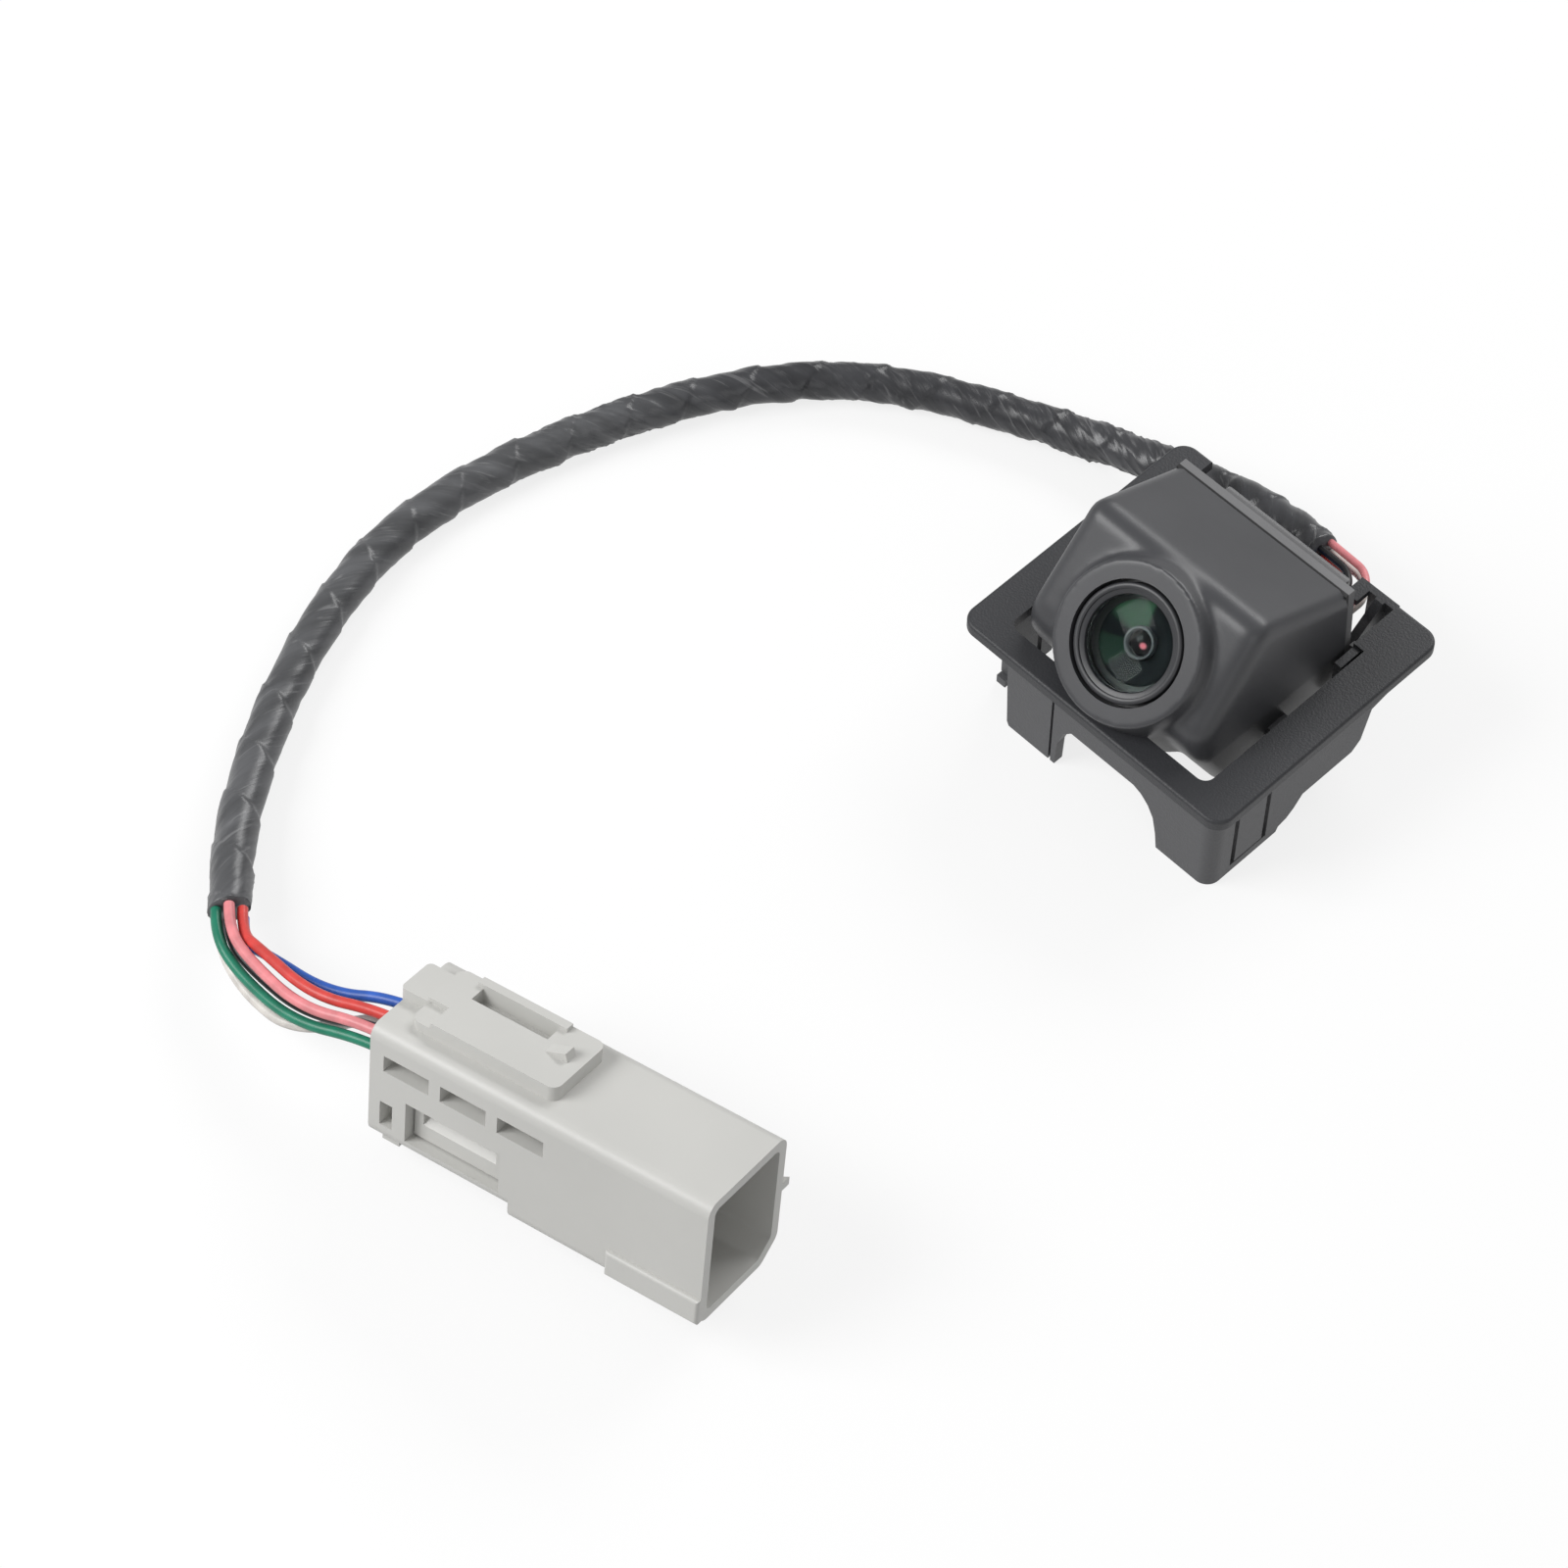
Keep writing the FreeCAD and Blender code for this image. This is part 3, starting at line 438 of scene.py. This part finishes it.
def softenBy(obj, weigh, rounds):
    group = obj.vertex_groups.new(name="soft")
    for v in obj.data.vertices:
        w = weigh(v.co)
        if w > 0.01:
            group.add([v.index], w, "REPLACE")
    mod = obj.modifiers.new("soften", "SMOOTH")
    mod.vertex_group = "soft"
    mod.factor = 0.5
    mod.iterations = rounds
    applyAll(obj)
    obj.vertex_groups.clear()


def ramp(value, low, high):
    part = min(1.0, max(0.0, (value - low) / (high - low)))
    return part * part * (3 - 2 * part)


def bossShare(place):
    # near the foot of the boss the skin is softest, and at its rim hardly at all
    plan = softPlan
    rel = place - lensFace
    deep = -rel.dot(lensAxis)
    wide = (rel + lensAxis * deep).length
    near = ramp(wide, *plan["wide"]) * (1 - ramp(wide, *plan["far"])) * ramp(deep, *plan["shallow"])
    return near * (1 - ramp(deep, *plan["deep"])) * ramp(place.z, *plan["high"])


def hoodSkin():
    # block and boss rounded, fused into one skin and smoothed where they meet
    plan = hoodPlan
    block = hoodBlock("cameraHood", 0.0, plan["back"] + plan["spare"])
    mod = block.modifiers.new("round", "BEVEL")
    mod.width = plan["edge"]
    mod.segments = plan["edgeSteps"]
    mod.limit_method = "ANGLE"
    mod.angle_limit = math.radians(plan["edgeAngle"])
    applyAll(block)
    skin = joinAll([block] + bossParts())
    mod = skin.modifiers.new("skin", "REMESH")
    mod.mode = "VOXEL"
    mod.voxel_size = plan["voxel"]
    applyAll(skin)
    softenBy(skin, bossShare, softPlan["bossRounds"])
    softenBy(skin, lambda place: 1.0, softPlan["skinRounds"])
    cutAway(skin, (0, plan["back"], 0), (0, 1, 0))
    return skin


def buildHood():
    screws = screwPlan
    lens = lensPlan
    hood = hoodSkin()
    for side in (1, -1):
        combine(hood, lugBlock(side), "UNION")
    core = hoodBlock("core", hoodPlan["wall"], hoodPlan["back"] + hoodPlan["coreSpare"])
    posts = coverScrewRods("post", screws["post"], screws["postDeep"], screws["postLong"], 40)
    combine(core, joinAll(posts), "DIFFERENCE")
    combine(hood, core, "DIFFERENCE")
    bore = addRod("bore", lens["bore"], lensFace - lensAxis * lens["boreDeep"], lensAxis, lens["boreLong"])
    combine(hood, bore, "DIFFERENCE")
    seatFoot = lensFace - lensAxis * lens["seatDeep"]
    seat = addRod("seat", lens["seat"], seatFoot, lensAxis, lens["seatDeep"] + lens["seatSpare"])
    combine(hood, seat, "DIFFERENCE")
    holes = coverScrewRods("hole", screws["hole"], screws["holeDeep"], screws["holeLong"], 24)
    combine(hood, joinAll(holes + lugScrewRods()), "DIFFERENCE")
    smoothByAngle(hood, hoodPlan["smooth"])
    return hood


hood = buildHood()
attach(hood, "kit")
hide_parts("camera_hood")
print("hood made,", len(hood.data.polygons), "faces")


# lens: a stepped ring, a thin domed glass, a dark cup behind it and a small inner ring
def selectRings(obj, rings):
    # in edit mode, select only the vertices that lie on these (radius, height) rings
    close = 2e-6
    bpy.ops.mesh.select_all(action="DESELECT")
    bpy.ops.object.mode_set(mode="OBJECT")
    for radius, height in rings:
        for v in obj.data.vertices:
            if abs(v.co.xy.length - radius) < close and abs(v.co.z - height) < close:
                v.select = True
    bpy.ops.object.mode_set(mode="EDIT")
    bpy.ops.mesh.select_mode(type="VERT")


def addTurned(name, profile, closed, sides=112):
    # a shape turned round the lens axis from (radius, height) steps, heights taken from the front face
    deselectAll()
    r0, h0 = profile[0]
    bpy.ops.mesh.primitive_circle_add(vertices=sides, radius=r0, location=(0, 0, h0))
    obj = bpy.context.active_object
    obj.name = name
    settle(obj)
    bpy.ops.object.mode_set(mode="EDIT")
    bpy.ops.mesh.select_all(action="SELECT")
    if not closed:
        bpy.ops.mesh.edge_face_add()
    for (r1, h1), (r2, h2) in zip(profile, profile[1:]):
        bpy.ops.mesh.extrude_edges_move(TRANSFORM_OT_translate={"value": (0, 0, h2 - h1)})
        if r2 > 0:
            bpy.ops.transform.resize(value=(r2 / r1, r2 / r1, 1), center_override=(0, 0, 0))
        else:
            bpy.ops.mesh.merge(type="CENTER")
    if closed:
        selectRings(obj, (profile[0], profile[-1]))
        bpy.ops.mesh.bridge_edge_loops()
    bpy.ops.mesh.select_all(action="SELECT")
    bpy.ops.mesh.normals_make_consistent(inside=False)
    bpy.ops.object.mode_set(mode="OBJECT")
    obj.location = lensFace
    obj.rotation_euler = (lensTurn, 0, 0)
    settle(obj)
    smoothByAngle(obj, 40)
    return obj


def domeSteps(radius, rim, rise, count):
    # steps of a dome from its rim to its crown
    ball = (radius * radius + rise * rise) / (2 * rise)
    far = math.asin(radius / ball)
    steps = []
    for k in range(count + 1):
        a = far * (1 - k / count)
        steps.append((ball * math.sin(a) if k < count else 0.0, rim + rise - ball * (1 - math.cos(a))))
    return steps


# steps of each turned piece as (radius, height)
ringSteps = [(0.00815, -0.0023), (0.00815, -0.00035), (0.00805, -0.0002), (0.00785, -0.00012),
             (0.00745, -0.00012), (0.00733, -0.0002), (0.0073, -0.00042), (0.0071, -0.00046),
             (0.0068, -0.00052), (0.00662, -0.0006), (0.00655, -0.0008), (0.00655, -0.0023)]
glassSteps = [(0.0063, -0.00225), (0.00652, -0.0021)] + domeSteps(0.0065, -0.0011, 0.00125, 14)
cupSteps = [(0.0055, -0.0050), (0.00558, -0.0049), (0.00558, -0.00345), (0.0052, -0.0033), (0.0040, -0.00355),
            (0.0029, -0.0039), (0.00235, -0.0042), (0.0022, -0.0043), (0.0022, -0.0050)]
collarSteps = [(0.00215, -0.0048), (0.00215, -0.0038), (0.00208, -0.00368), (0.00185, -0.00366),
               (0.00172, -0.0038), (0.00165, -0.0041), (0.00165, -0.0048)]
eyeSteps = [(0.0016, -0.0047), (0.00164, -0.0046)] + domeSteps(0.00164, -0.0042, 0.0006, 8)
lensRing = addTurned("lensRing", ringSteps, True)
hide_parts("lens_retainer")
frontGlass = addTurned("frontGlass", glassSteps, False)
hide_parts("front_lens")
lensCup = addTurned("lensCup", cupSteps, True)
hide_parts("lens_tube")
lensCollar = addTurned("lensCollar", collarSteps, True)
eyeGlass = addTurned("eyeGlass", eyeSteps, False)
for piece in (lensRing, frontGlass, lensCup, lensCollar, eyeGlass):
    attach(piece, "kit")
print("lens made")


# shared effects
def newGroup(name, inputs, outputs):
    group = bpy.data.node_groups.new(name, "ShaderNodeTree")
    for label, kind, value in inputs:
        socket = group.interface.new_socket(name=label, in_out="INPUT", socket_type=kind)
        if value is not None:
            socket.default_value = value
    for label, kind in outputs:
        group.interface.new_socket(name=label, in_out="OUTPUT", socket_type=kind)
    return group, group.nodes.new("NodeGroupInput"), group.nodes.new("NodeGroupOutput")


def grainGroup():
    # moulded plastic: fine texture, and slow change in shade
    group, start, end = newGroup("mouldGrain", [("Colour", "NodeSocketColor", (0.5, 0.5, 0.5, 1)),
                                                ("Fine", "NodeSocketFloat", 2500.0),
                                                ("Slow", "NodeSocketFloat", 60.0),
                                                ("Shade", "NodeSocketFloat", 0.12)],
                                 [("Colour", "NodeSocketColor"), ("Height", "NodeSocketFloat"),
                                  ("Rough", "NodeSocketFloat")])
    n = group.nodes
    link = group.links.new
    place = n.new("ShaderNodeTexCoord")
    fine = n.new("ShaderNodeTexNoise")
    slow = n.new("ShaderNodeTexNoise")
    fine.inputs["Detail"].default_value = 3.0
    slow.inputs["Detail"].default_value = 4.0
    link(place.outputs["Object"], fine.inputs["Vector"])
    link(place.outputs["Object"], slow.inputs["Vector"])
    link(start.outputs["Fine"], fine.inputs["Scale"])
    link(start.outputs["Slow"], slow.inputs["Scale"])
    spread = n.new("ShaderNodeMapRange")
    spread.inputs["From Min"].default_value = 0.3
    spread.inputs["From Max"].default_value = 0.7
    link(slow.outputs["Fac"], spread.inputs["Value"])
    low = n.new("ShaderNodeMath")
    low.operation = "SUBTRACT"
    low.inputs[0].default_value = 1.0
    high = n.new("ShaderNodeMath")
    high.operation = "ADD"
    high.inputs[0].default_value = 1.0
    link(start.outputs["Shade"], low.inputs[1])
    link(start.outputs["Shade"], high.inputs[1])
    link(low.outputs[0], spread.inputs["To Min"])
    link(high.outputs[0], spread.inputs["To Max"])
    tint = n.new("ShaderNodeVectorMath")
    tint.operation = "SCALE"
    link(start.outputs["Colour"], tint.inputs[0])
    link(spread.outputs["Result"], tint.inputs["Scale"])
    link(tint.outputs["Vector"], end.inputs["Colour"])
    link(fine.outputs["Fac"], end.inputs["Height"])
    rough = n.new("ShaderNodeMapRange")
    rough.inputs["To Min"].default_value = -0.05
    rough.inputs["To Max"].default_value = 0.05
    link(fine.outputs["Fac"], rough.inputs["Value"])
    link(rough.outputs["Result"], end.inputs["Rough"])
    return group


grain = grainGroup()


def baseMaterial(name, rough, spec=0.5):
    mat = bpy.data.materials.new(name)
    mat.use_nodes = True
    shader = mat.node_tree.nodes["Principled BSDF"]
    shader.inputs["Roughness"].default_value = rough
    shader.inputs["Specular IOR Level"].default_value = spec
    return mat, shader


def addBump(mat, shader, height, strength, distance):
    bump = mat.node_tree.nodes.new("ShaderNodeBump")
    bump.inputs["Strength"].default_value = strength
    bump.inputs["Distance"].default_value = distance
    mat.node_tree.links.new(height, bump.inputs["Height"])
    mat.node_tree.links.new(bump.outputs["Normal"], shader.inputs["Normal"])
    return bump


def mouldedPlastic(name, colour, rough, fine=2500.0, slow=60.0, shade=0.12, bump=0.25, depth=0.00006):
    mat, shader = baseMaterial(name, rough)
    nt = mat.node_tree
    use = nt.nodes.new("ShaderNodeGroup")
    use.node_tree = grain
    use.inputs["Colour"].default_value = (*colour, 1)
    use.inputs["Fine"].default_value = fine
    use.inputs["Slow"].default_value = slow
    use.inputs["Shade"].default_value = shade
    nt.links.new(use.outputs["Colour"], shader.inputs["Base Color"])
    add = nt.nodes.new("ShaderNodeMath")
    add.inputs[1].default_value = rough
    nt.links.new(use.outputs["Rough"], add.inputs[0])
    nt.links.new(add.outputs[0], shader.inputs["Roughness"])
    addBump(mat, shader, use.outputs["Height"], bump, depth)
    return mat


# painted sheen: the paler colour given to the walls below the flange's underside
bezelSheenLook = {"under": 0.0172, "fade": 0.0006, "wall": (0.09, 0.091, 0.096)}


def bezelFinishAndPaintedSheen():
    # the flange's top is finely textured and dark; the skirt's drafted walls below it are painted paler, a
    # painted sheen for the light they catch
    mat = mouldedPlastic("bezelBlack", (0.033, 0.034, 0.038), 0.5, fine=3200, bump=0.55, depth=0.0001)
    nt = mat.node_tree
    shader = nt.nodes["Principled BSDF"]
    place = nt.nodes.new("ShaderNodeTexCoord")
    parts = nt.nodes.new("ShaderNodeSeparateXYZ")
    nt.links.new(place.outputs["Object"], parts.inputs[0])
    look = bezelSheenLook
    # painted sheen: below the flange's underside the colour fades to the paler wall colour
    wall = stepOn(nt, parts.outputs["Z"], look["under"], look["under"] - look["fade"])
    textured = shader.inputs["Base Color"].links[0].from_socket
    nt.links.new(tintOn(nt, wall, textured, look["wall"]), shader.inputs["Base Color"])
    return mat


def metalFinish(name, colour, rough, fine=1500.0):
    mat = mouldedPlastic(name, colour, rough, fine=fine, shade=0.08, bump=0.1, depth=0.00003)
    mat.node_tree.nodes["Principled BSDF"].inputs["Metallic"].default_value = 1.0
    return mat


# the streak stops are painted highlight colours, added on top of the tape's own colour
tapeLook = {"slow": [(0.35, (0.026, 0.026, 0.030)), (0.62, (0.052, 0.053, 0.058))],
            "soft": [(0.36, (0.72, 0.72, 0.72)), (0.66, (1.18, 1.18, 1.18))],
            "streak": [(0.60, (0, 0, 0)), (0.66, (0.035, 0.035, 0.035)), (0.72, (0.08, 0.08, 0.08))],
            "slowGrain": 26.0, "softGrain": 260.0, "streakGrain": 980.0, "pale": (0.098, 0.1, 0.105)}


def tapeFinishAndPaintedGloss():
    # wound tape: drawn-out creases, thin pale streaks painted into the colour as glossy highlights, and slow
    # change in shade
    look = tapeLook
    mat, shader = baseMaterial("harnessTape", 0.36)
    nt = mat.node_tree
    wind = nt.nodes.new("ShaderNodeAttribute")
    wind.attribute_name = "wind"
    soft = noiseOn(nt, wind.outputs["Vector"], look["softGrain"], 3.0, 0.3)
    streak = noiseOn(nt, wind.outputs["Vector"], look["streakGrain"], 4.0, 0.9)
    place = nt.nodes.new("ShaderNodeTexCoord")
    slow = noiseOn(nt, place.outputs["Object"], look["slowGrain"], 2.0, 0.0)
    shade = rampOn(nt, slow.outputs["Fac"], look["slow"])
    dark = rampOn(nt, soft.outputs["Fac"], look["soft"])
    # painted highlight: thin pale streaks added to the colour as gloss on the tape
    highlightLines = rampOn(nt, streak.outputs["Fac"], look["streak"])
    span = nt.nodes.new("ShaderNodeUVMap")
    span.uv_map = "along"
    parts = nt.nodes.new("ShaderNodeSeparateXYZ")
    nt.links.new(span.outputs["UV"], parts.inputs[0])
    begin = harnessPlan["paleFrom"]
    end = begin + harnessPlan["paleRun"]
    units = harnessPlan["unitsAlong"]
    late = stepOn(nt, parts.outputs["X"], begin * units, end * units)
    tone = tintOn(nt, late, shade.outputs["Color"], look["pale"])
    both = mixOn(nt, "MULTIPLY", tone, dark.outputs["Color"])
    total = mixOn(nt, "ADD", both, highlightLines.outputs["Color"])
    nt.links.new(total, shader.inputs["Base Color"])
    shader.inputs["Coat Weight"].default_value = 0.15
    shader.inputs["Coat Roughness"].default_value = 0.25
    addBump(mat, shader, streak.outputs["Fac"], 0.35, 0.00025)
    return mat


def noiseOn(nt, vector, scale, detail, bend):
    node = nt.nodes.new("ShaderNodeTexNoise")
    node.inputs["Scale"].default_value = scale
    node.inputs["Detail"].default_value = detail
    node.inputs["Distortion"].default_value = bend
    nt.links.new(vector, node.inputs["Vector"])
    return node


def rampOn(nt, value, stops):
    node = nt.nodes.new("ShaderNodeValToRGB")
    line = node.color_ramp
    while len(line.elements) < len(stops):
        line.elements.new(0.5)
    for element, (at, colour) in zip(line.elements, stops):
        element.position = at
        element.color = (*colour, 1)
    nt.links.new(value, node.inputs["Fac"])
    return node


def mixOn(nt, kind, a, b):
    node = nt.nodes.new("ShaderNodeMix")
    node.data_type = "RGBA"
    node.blend_type = kind
    node.inputs[0].default_value = 1.0
    nt.links.new(a, node.inputs[6])
    nt.links.new(b, node.inputs[7])
    return node.outputs[2]


def tintOn(nt, mask, low, high):
    # the low colour or socket where the mask is 0, and the high colour where it is 1
    node = nt.nodes.new("ShaderNodeMix")
    node.data_type = "RGBA"
    nt.links.new(mask, node.inputs[0])
    if isinstance(low, tuple):
        node.inputs[6].default_value = (*low, 1)
    else:
        nt.links.new(low, node.inputs[6])
    node.inputs[7].default_value = (*high, 1)
    return node.outputs[2]


def lensAngle(nt):
    # how far round the lens axis a place lies, as X and Y seen square to the glass
    place = nt.nodes.new("ShaderNodeTexCoord")
    move = nt.nodes.new("ShaderNodeVectorMath")
    move.operation = "SUBTRACT"
    nt.links.new(place.outputs["Object"], move.inputs[0])
    move.inputs[1].default_value = tuple(lensFace)
    turn = nt.nodes.new("ShaderNodeVectorRotate")
    turn.rotation_type = "X_AXIS"
    turn.inputs["Angle"].default_value = -lensTurn
    nt.links.new(move.outputs["Vector"], turn.inputs["Vector"])
    split = nt.nodes.new("ShaderNodeSeparateXYZ")
    nt.links.new(turn.outputs["Vector"], split.inputs["Vector"])
    return split


def mathOn(nt, kind, a, b=None):
    node = nt.nodes.new("ShaderNodeMath")
    node.operation = kind
    for socket, value in zip(node.inputs, (a, b)):
        if value is None:
            continue
        if isinstance(value, (int, float)):
            socket.default_value = value
        else:
            nt.links.new(value, socket)
    return node.outputs[0]


def stepOn(nt, value, low, high):
    node = nt.nodes.new("ShaderNodeMapRange")
    node.interpolation_type = "SMOOTHSTEP"
    node.inputs["From Min"].default_value = low
    node.inputs["From Max"].default_value = high
    nt.links.new(value, node.inputs["Value"])
    return node.outputs["Result"]


def wedgeOn(nt, angle, begin, end):
    # 1 between two turns about the lens axis, fading over the pair of angles at each end
    return mathOn(nt, "MULTIPLY", stepOn(nt, angle, *begin), stepOn(nt, angle, *end))


# painted reflection: the green colour and the two turns about the lens axis it fills stand in for the
# coating's reflection
cupReflectionLook = {"plain": (0.004, 0.007, 0.009), "green": (0.034, 0.095, 0.055),
           "wedge": ((1.60, 1.75), (3.05, 2.65)), "low": ((-1.9, -2.1), (-2.9, -2.7)), "lowReflectionShare": 0.3}


def cupFinishAndPaintedReflection():
    # the coated cup behind the glass: near black, with a painted green reflection of the coating in a sector
    # to the upper left and a fainter one to the lower left
    look = cupReflectionLook
    mat, shader = baseMaterial("lensCup", 0.6, 0.1)
    nt = mat.node_tree
    split = lensAngle(nt)
    angle = mathOn(nt, "ARCTAN2", split.outputs["Y"], split.outputs["X"])
    wedge = wedgeOn(nt, angle, *look["wedge"])
    low = mathOn(nt, "MULTIPLY", wedgeOn(nt, angle, *look["low"]), look["lowReflectionShare"])
    mask = mathOn(nt, "ADD", wedge, low)
    nt.links.new(tintOn(nt, mask, look["plain"], look["green"]), shader.inputs["Base Color"])
    return mat


# painted highlight: the glint is a pink-red spot painted into the glass's base colour
eyeLook = {"plain": (0.012, 0.010, 0.012), "paintedGlint": (0.95, 0.26, 0.32),
           "glintX": 0.0007, "glintEdge": 0.00056, "glintCore": 0.00022}


def eyeFinishAndPaintedGlint():
    # the small inner element: black glass with a painted pink-red glint to one side
    look = eyeLook
    mat, shader = baseMaterial("eyeGlass", 0.12, 0.1)
    nt = mat.node_tree
    split = lensAngle(nt)
    dx = mathOn(nt, "SUBTRACT", split.outputs["X"], look["glintX"])
    dy = split.outputs["Y"]
    square = mathOn(nt, "ADD", mathOn(nt, "MULTIPLY", dx, dx), mathOn(nt, "MULTIPLY", dy, dy))
    near = stepOn(nt, mathOn(nt, "SQRT", square), look["glintEdge"], look["glintCore"])
    nt.links.new(tintOn(nt, near, look["plain"], look["paintedGlint"]), shader.inputs["Base Color"])
    shader.inputs["Coat Weight"].default_value = 0.05
    return mat


def wireFinish(name, colour):
    mat, shader = baseMaterial(name, 0.38)
    nt = mat.node_tree
    place = nt.nodes.new("ShaderNodeTexCoord")
    spot = noiseOn(nt, place.outputs["Object"], 420.0, 4.0, 0.0)
    dark = tuple(c * 0.84 for c in colour)
    pale = tuple(min(1, c * 1.08) for c in colour)
    tone = rampOn(nt, spot.outputs["Fac"], [(0.35, dark), (0.65, pale)])
    nt.links.new(tone.outputs["Color"], shader.inputs["Base Color"])
    addBump(mat, shader, spot.outputs["Fac"], 0.2, 0.00008)
    return mat


def glassFinish(name, colour):
    mat, shader = baseMaterial(name, 0.0, 0.12)
    shader.inputs["Base Color"].default_value = (*colour, 1)
    shader.inputs["Transmission Weight"].default_value = 1.0
    shader.inputs["IOR"].default_value = 1.15
    nt = mat.node_tree
    place = nt.nodes.new("ShaderNodeTexCoord")
    dust = noiseOn(nt, place.outputs["Object"], 900.0, 2.0, 0.0)
    spread = nt.nodes.new("ShaderNodeMapRange")
    spread.inputs["From Min"].default_value = 0.45
    spread.inputs["From Max"].default_value = 0.75
    spread.inputs["To Min"].default_value = 0.0
    spread.inputs["To Max"].default_value = 0.05
    nt.links.new(dust.outputs["Fac"], spread.inputs["Value"])
    nt.links.new(spread.outputs["Result"], shader.inputs["Roughness"])
    return mat


finishes = {
    "bezel_black": bezelFinishAndPaintedSheen(),
    "hood_black": mouldedPlastic("hoodBlack", (0.058, 0.059, 0.064), 0.38, fine=4200, bump=0.12,
                                 depth=0.00005),
    "seal_rubber": mouldedPlastic("sealRubber", (0.02, 0.02, 0.021), 0.7),
    "cover_grey": mouldedPlastic("coverGrey", (0.17, 0.17, 0.175), 0.45),
    "screw_steel": metalFinish("screwSteel", (0.55, 0.55, 0.57), 0.35),
    "sheath_black": mouldedPlastic("sheathBlack", (0.03, 0.03, 0.031), 0.5),
    "plug_white": mouldedPlastic("plugWhite", (0.72, 0.71, 0.66), 0.45),
    "ring_black": mouldedPlastic("ringBlack", (0.04, 0.041, 0.045), 0.38, fine=3000, bump=0.1),
    "barrel_black": mouldedPlastic("barrelBlack", (0.012, 0.012, 0.013), 0.5),
    "sensor_die": mouldedPlastic("sensorDie", (0.06, 0.03, 0.05), 0.2),
    "board_green": mouldedPlastic("boardGreen", (0.03, 0.16, 0.07), 0.35),
    "plug_grey": mouldedPlastic("plugGrey", (0.585, 0.582, 0.558), 0.42, fine=2600, slow=45, shade=0.03,
                                bump=0.14),
    "plug_dark": mouldedPlastic("plugDark", (0.12, 0.12, 0.12), 0.6),
    "pin_tin": metalFinish("pinTin", (0.7, 0.68, 0.62), 0.3),
    "lens_glass": glassFinish("lensGlass", (0.9, 0.98, 0.96)),
    "filter_glass": glassFinish("filterGlass", (0.5, 0.85, 0.95)),
    "harness_tape": tapeFinishAndPaintedGloss(),
    "wire_pink": wireFinish("wirePink", (0.82, 0.27, 0.29)),
    "wire_red": wireFinish("wireRed", (0.70, 0.07, 0.06)),
    "wire_blue": wireFinish("wireBlue", (0.03, 0.12, 0.52)),
    "wire_green": wireFinish("wireGreen", (0.012, 0.22, 0.13)),
    "wire_black": wireFinish("wireBlack", (0.018, 0.018, 0.02)),
    "wire_white": wireFinish("wireWhite", (0.74, 0.70, 0.66)),
}
slotOf = {p["node"]: p["material_slot"] for p in frame["record"]["subparts"]}


def dress(obj, mat):
    obj.data.materials.clear()
    obj.data.materials.append(mat)


for node, obj in nodes.items():
    dress(obj, finishes[slotOf[node]])
dress(harness, finishes["harness_tape"])
dress(hood, finishes["hood_black"])
dress(lensRing, finishes["ring_black"])
dress(frontGlass, finishes["lens_glass"])
dress(lensCup, cupFinishAndPaintedReflection())
dress(lensCollar, mouldedPlastic("collarGrey", (0.10, 0.105, 0.115), 0.28, fine=5000, bump=0.05))
dress(eyeGlass, eyeFinishAndPaintedGlint())
for colour, wire in wires.items():
    dress(wire, finishes["wire_" + colour])
print("finishes made")

# stage
stagePlan = {"size": 3.0, "drop": 0.0001, "colour": (0.93, 0.93, 0.93), "bounce": (0.42, 0.42, 0.42),
             "ownLight": 0.8, "world": 0.33}


def paleFloor():
    # seen directly, in a reflection or through glass the floor is partly its own light
    mat = bpy.data.materials.new("stagePale")
    mat.use_nodes = True
    nt = mat.node_tree
    nt.nodes.clear()
    out = nt.nodes.new("ShaderNodeOutputMaterial")
    mix = nt.nodes.new("ShaderNodeMixShader")
    flat = nt.nodes.new("ShaderNodeEmission")
    flat.inputs["Color"].default_value = (1, 1, 1, 1)
    diffuse = nt.nodes.new("ShaderNodeBsdfDiffuse")
    rays = nt.nodes.new("ShaderNodeLightPath")
    seen = rays.outputs["Is Camera Ray"]
    nt.links.new(tintOn(nt, seen, stagePlan["bounce"], stagePlan["colour"]), diffuse.inputs["Color"])
    shown = mathOn(nt, "MAXIMUM", seen, rays.outputs["Is Glossy Ray"])
    shown = mathOn(nt, "MAXIMUM", shown, rays.outputs["Is Transmission Ray"])
    nt.links.new(mathOn(nt, "MULTIPLY", shown, stagePlan["ownLight"]), mix.inputs[0])
    nt.links.new(diffuse.outputs[0], mix.inputs[1])
    nt.links.new(flat.outputs[0], mix.inputs[2])
    nt.links.new(mix.outputs[0], out.inputs["Surface"])
    return mat


deselectAll()
bpy.ops.mesh.primitive_plane_add(size=stagePlan["size"], location=(0, 0, -stagePlan["drop"]))
floor = bpy.context.active_object
floor.name = "floor"
settle(floor)
dress(floor, paleFloor())


lampPlans = {"keyLight": {"place": (-0.45, -0.6, 0.65), "size": (0.5, 0.5), "power": 6.6},
             "backLight": {"place": (-0.1, 0.75, 0.6), "size": (0.7, 0.3), "power": 4.6},
             "fillLight": {"place": (0.7, -0.5, 0.5), "size": (0.6, 0.6), "power": 1.0}}
middle = Vector((-0.03, -0.05, 0.0))


def addLight(name, plan):
    data = bpy.data.lights.new(name, "AREA")
    data.shape = "RECTANGLE"
    data.size, data.size_y = plan["size"]
    data.energy = plan["power"]
    lamp = bpy.data.objects.new(name, data)
    lamp.location = plan["place"]
    aim = middle - Vector(plan["place"])
    lamp.rotation_euler = aim.to_track_quat("-Z", "Y").to_euler()
    scene.collection.objects.link(lamp)


for name, plan in lampPlans.items():
    addLight(name, plan)

world = bpy.data.worlds.new("studio")
scene.world = world
world.use_nodes = True
world.node_tree.nodes["Background"].inputs["Color"].default_value = (1, 1, 1, 1)
world.node_tree.nodes["Background"].inputs["Strength"].default_value = stagePlan["world"]
print("stage set")
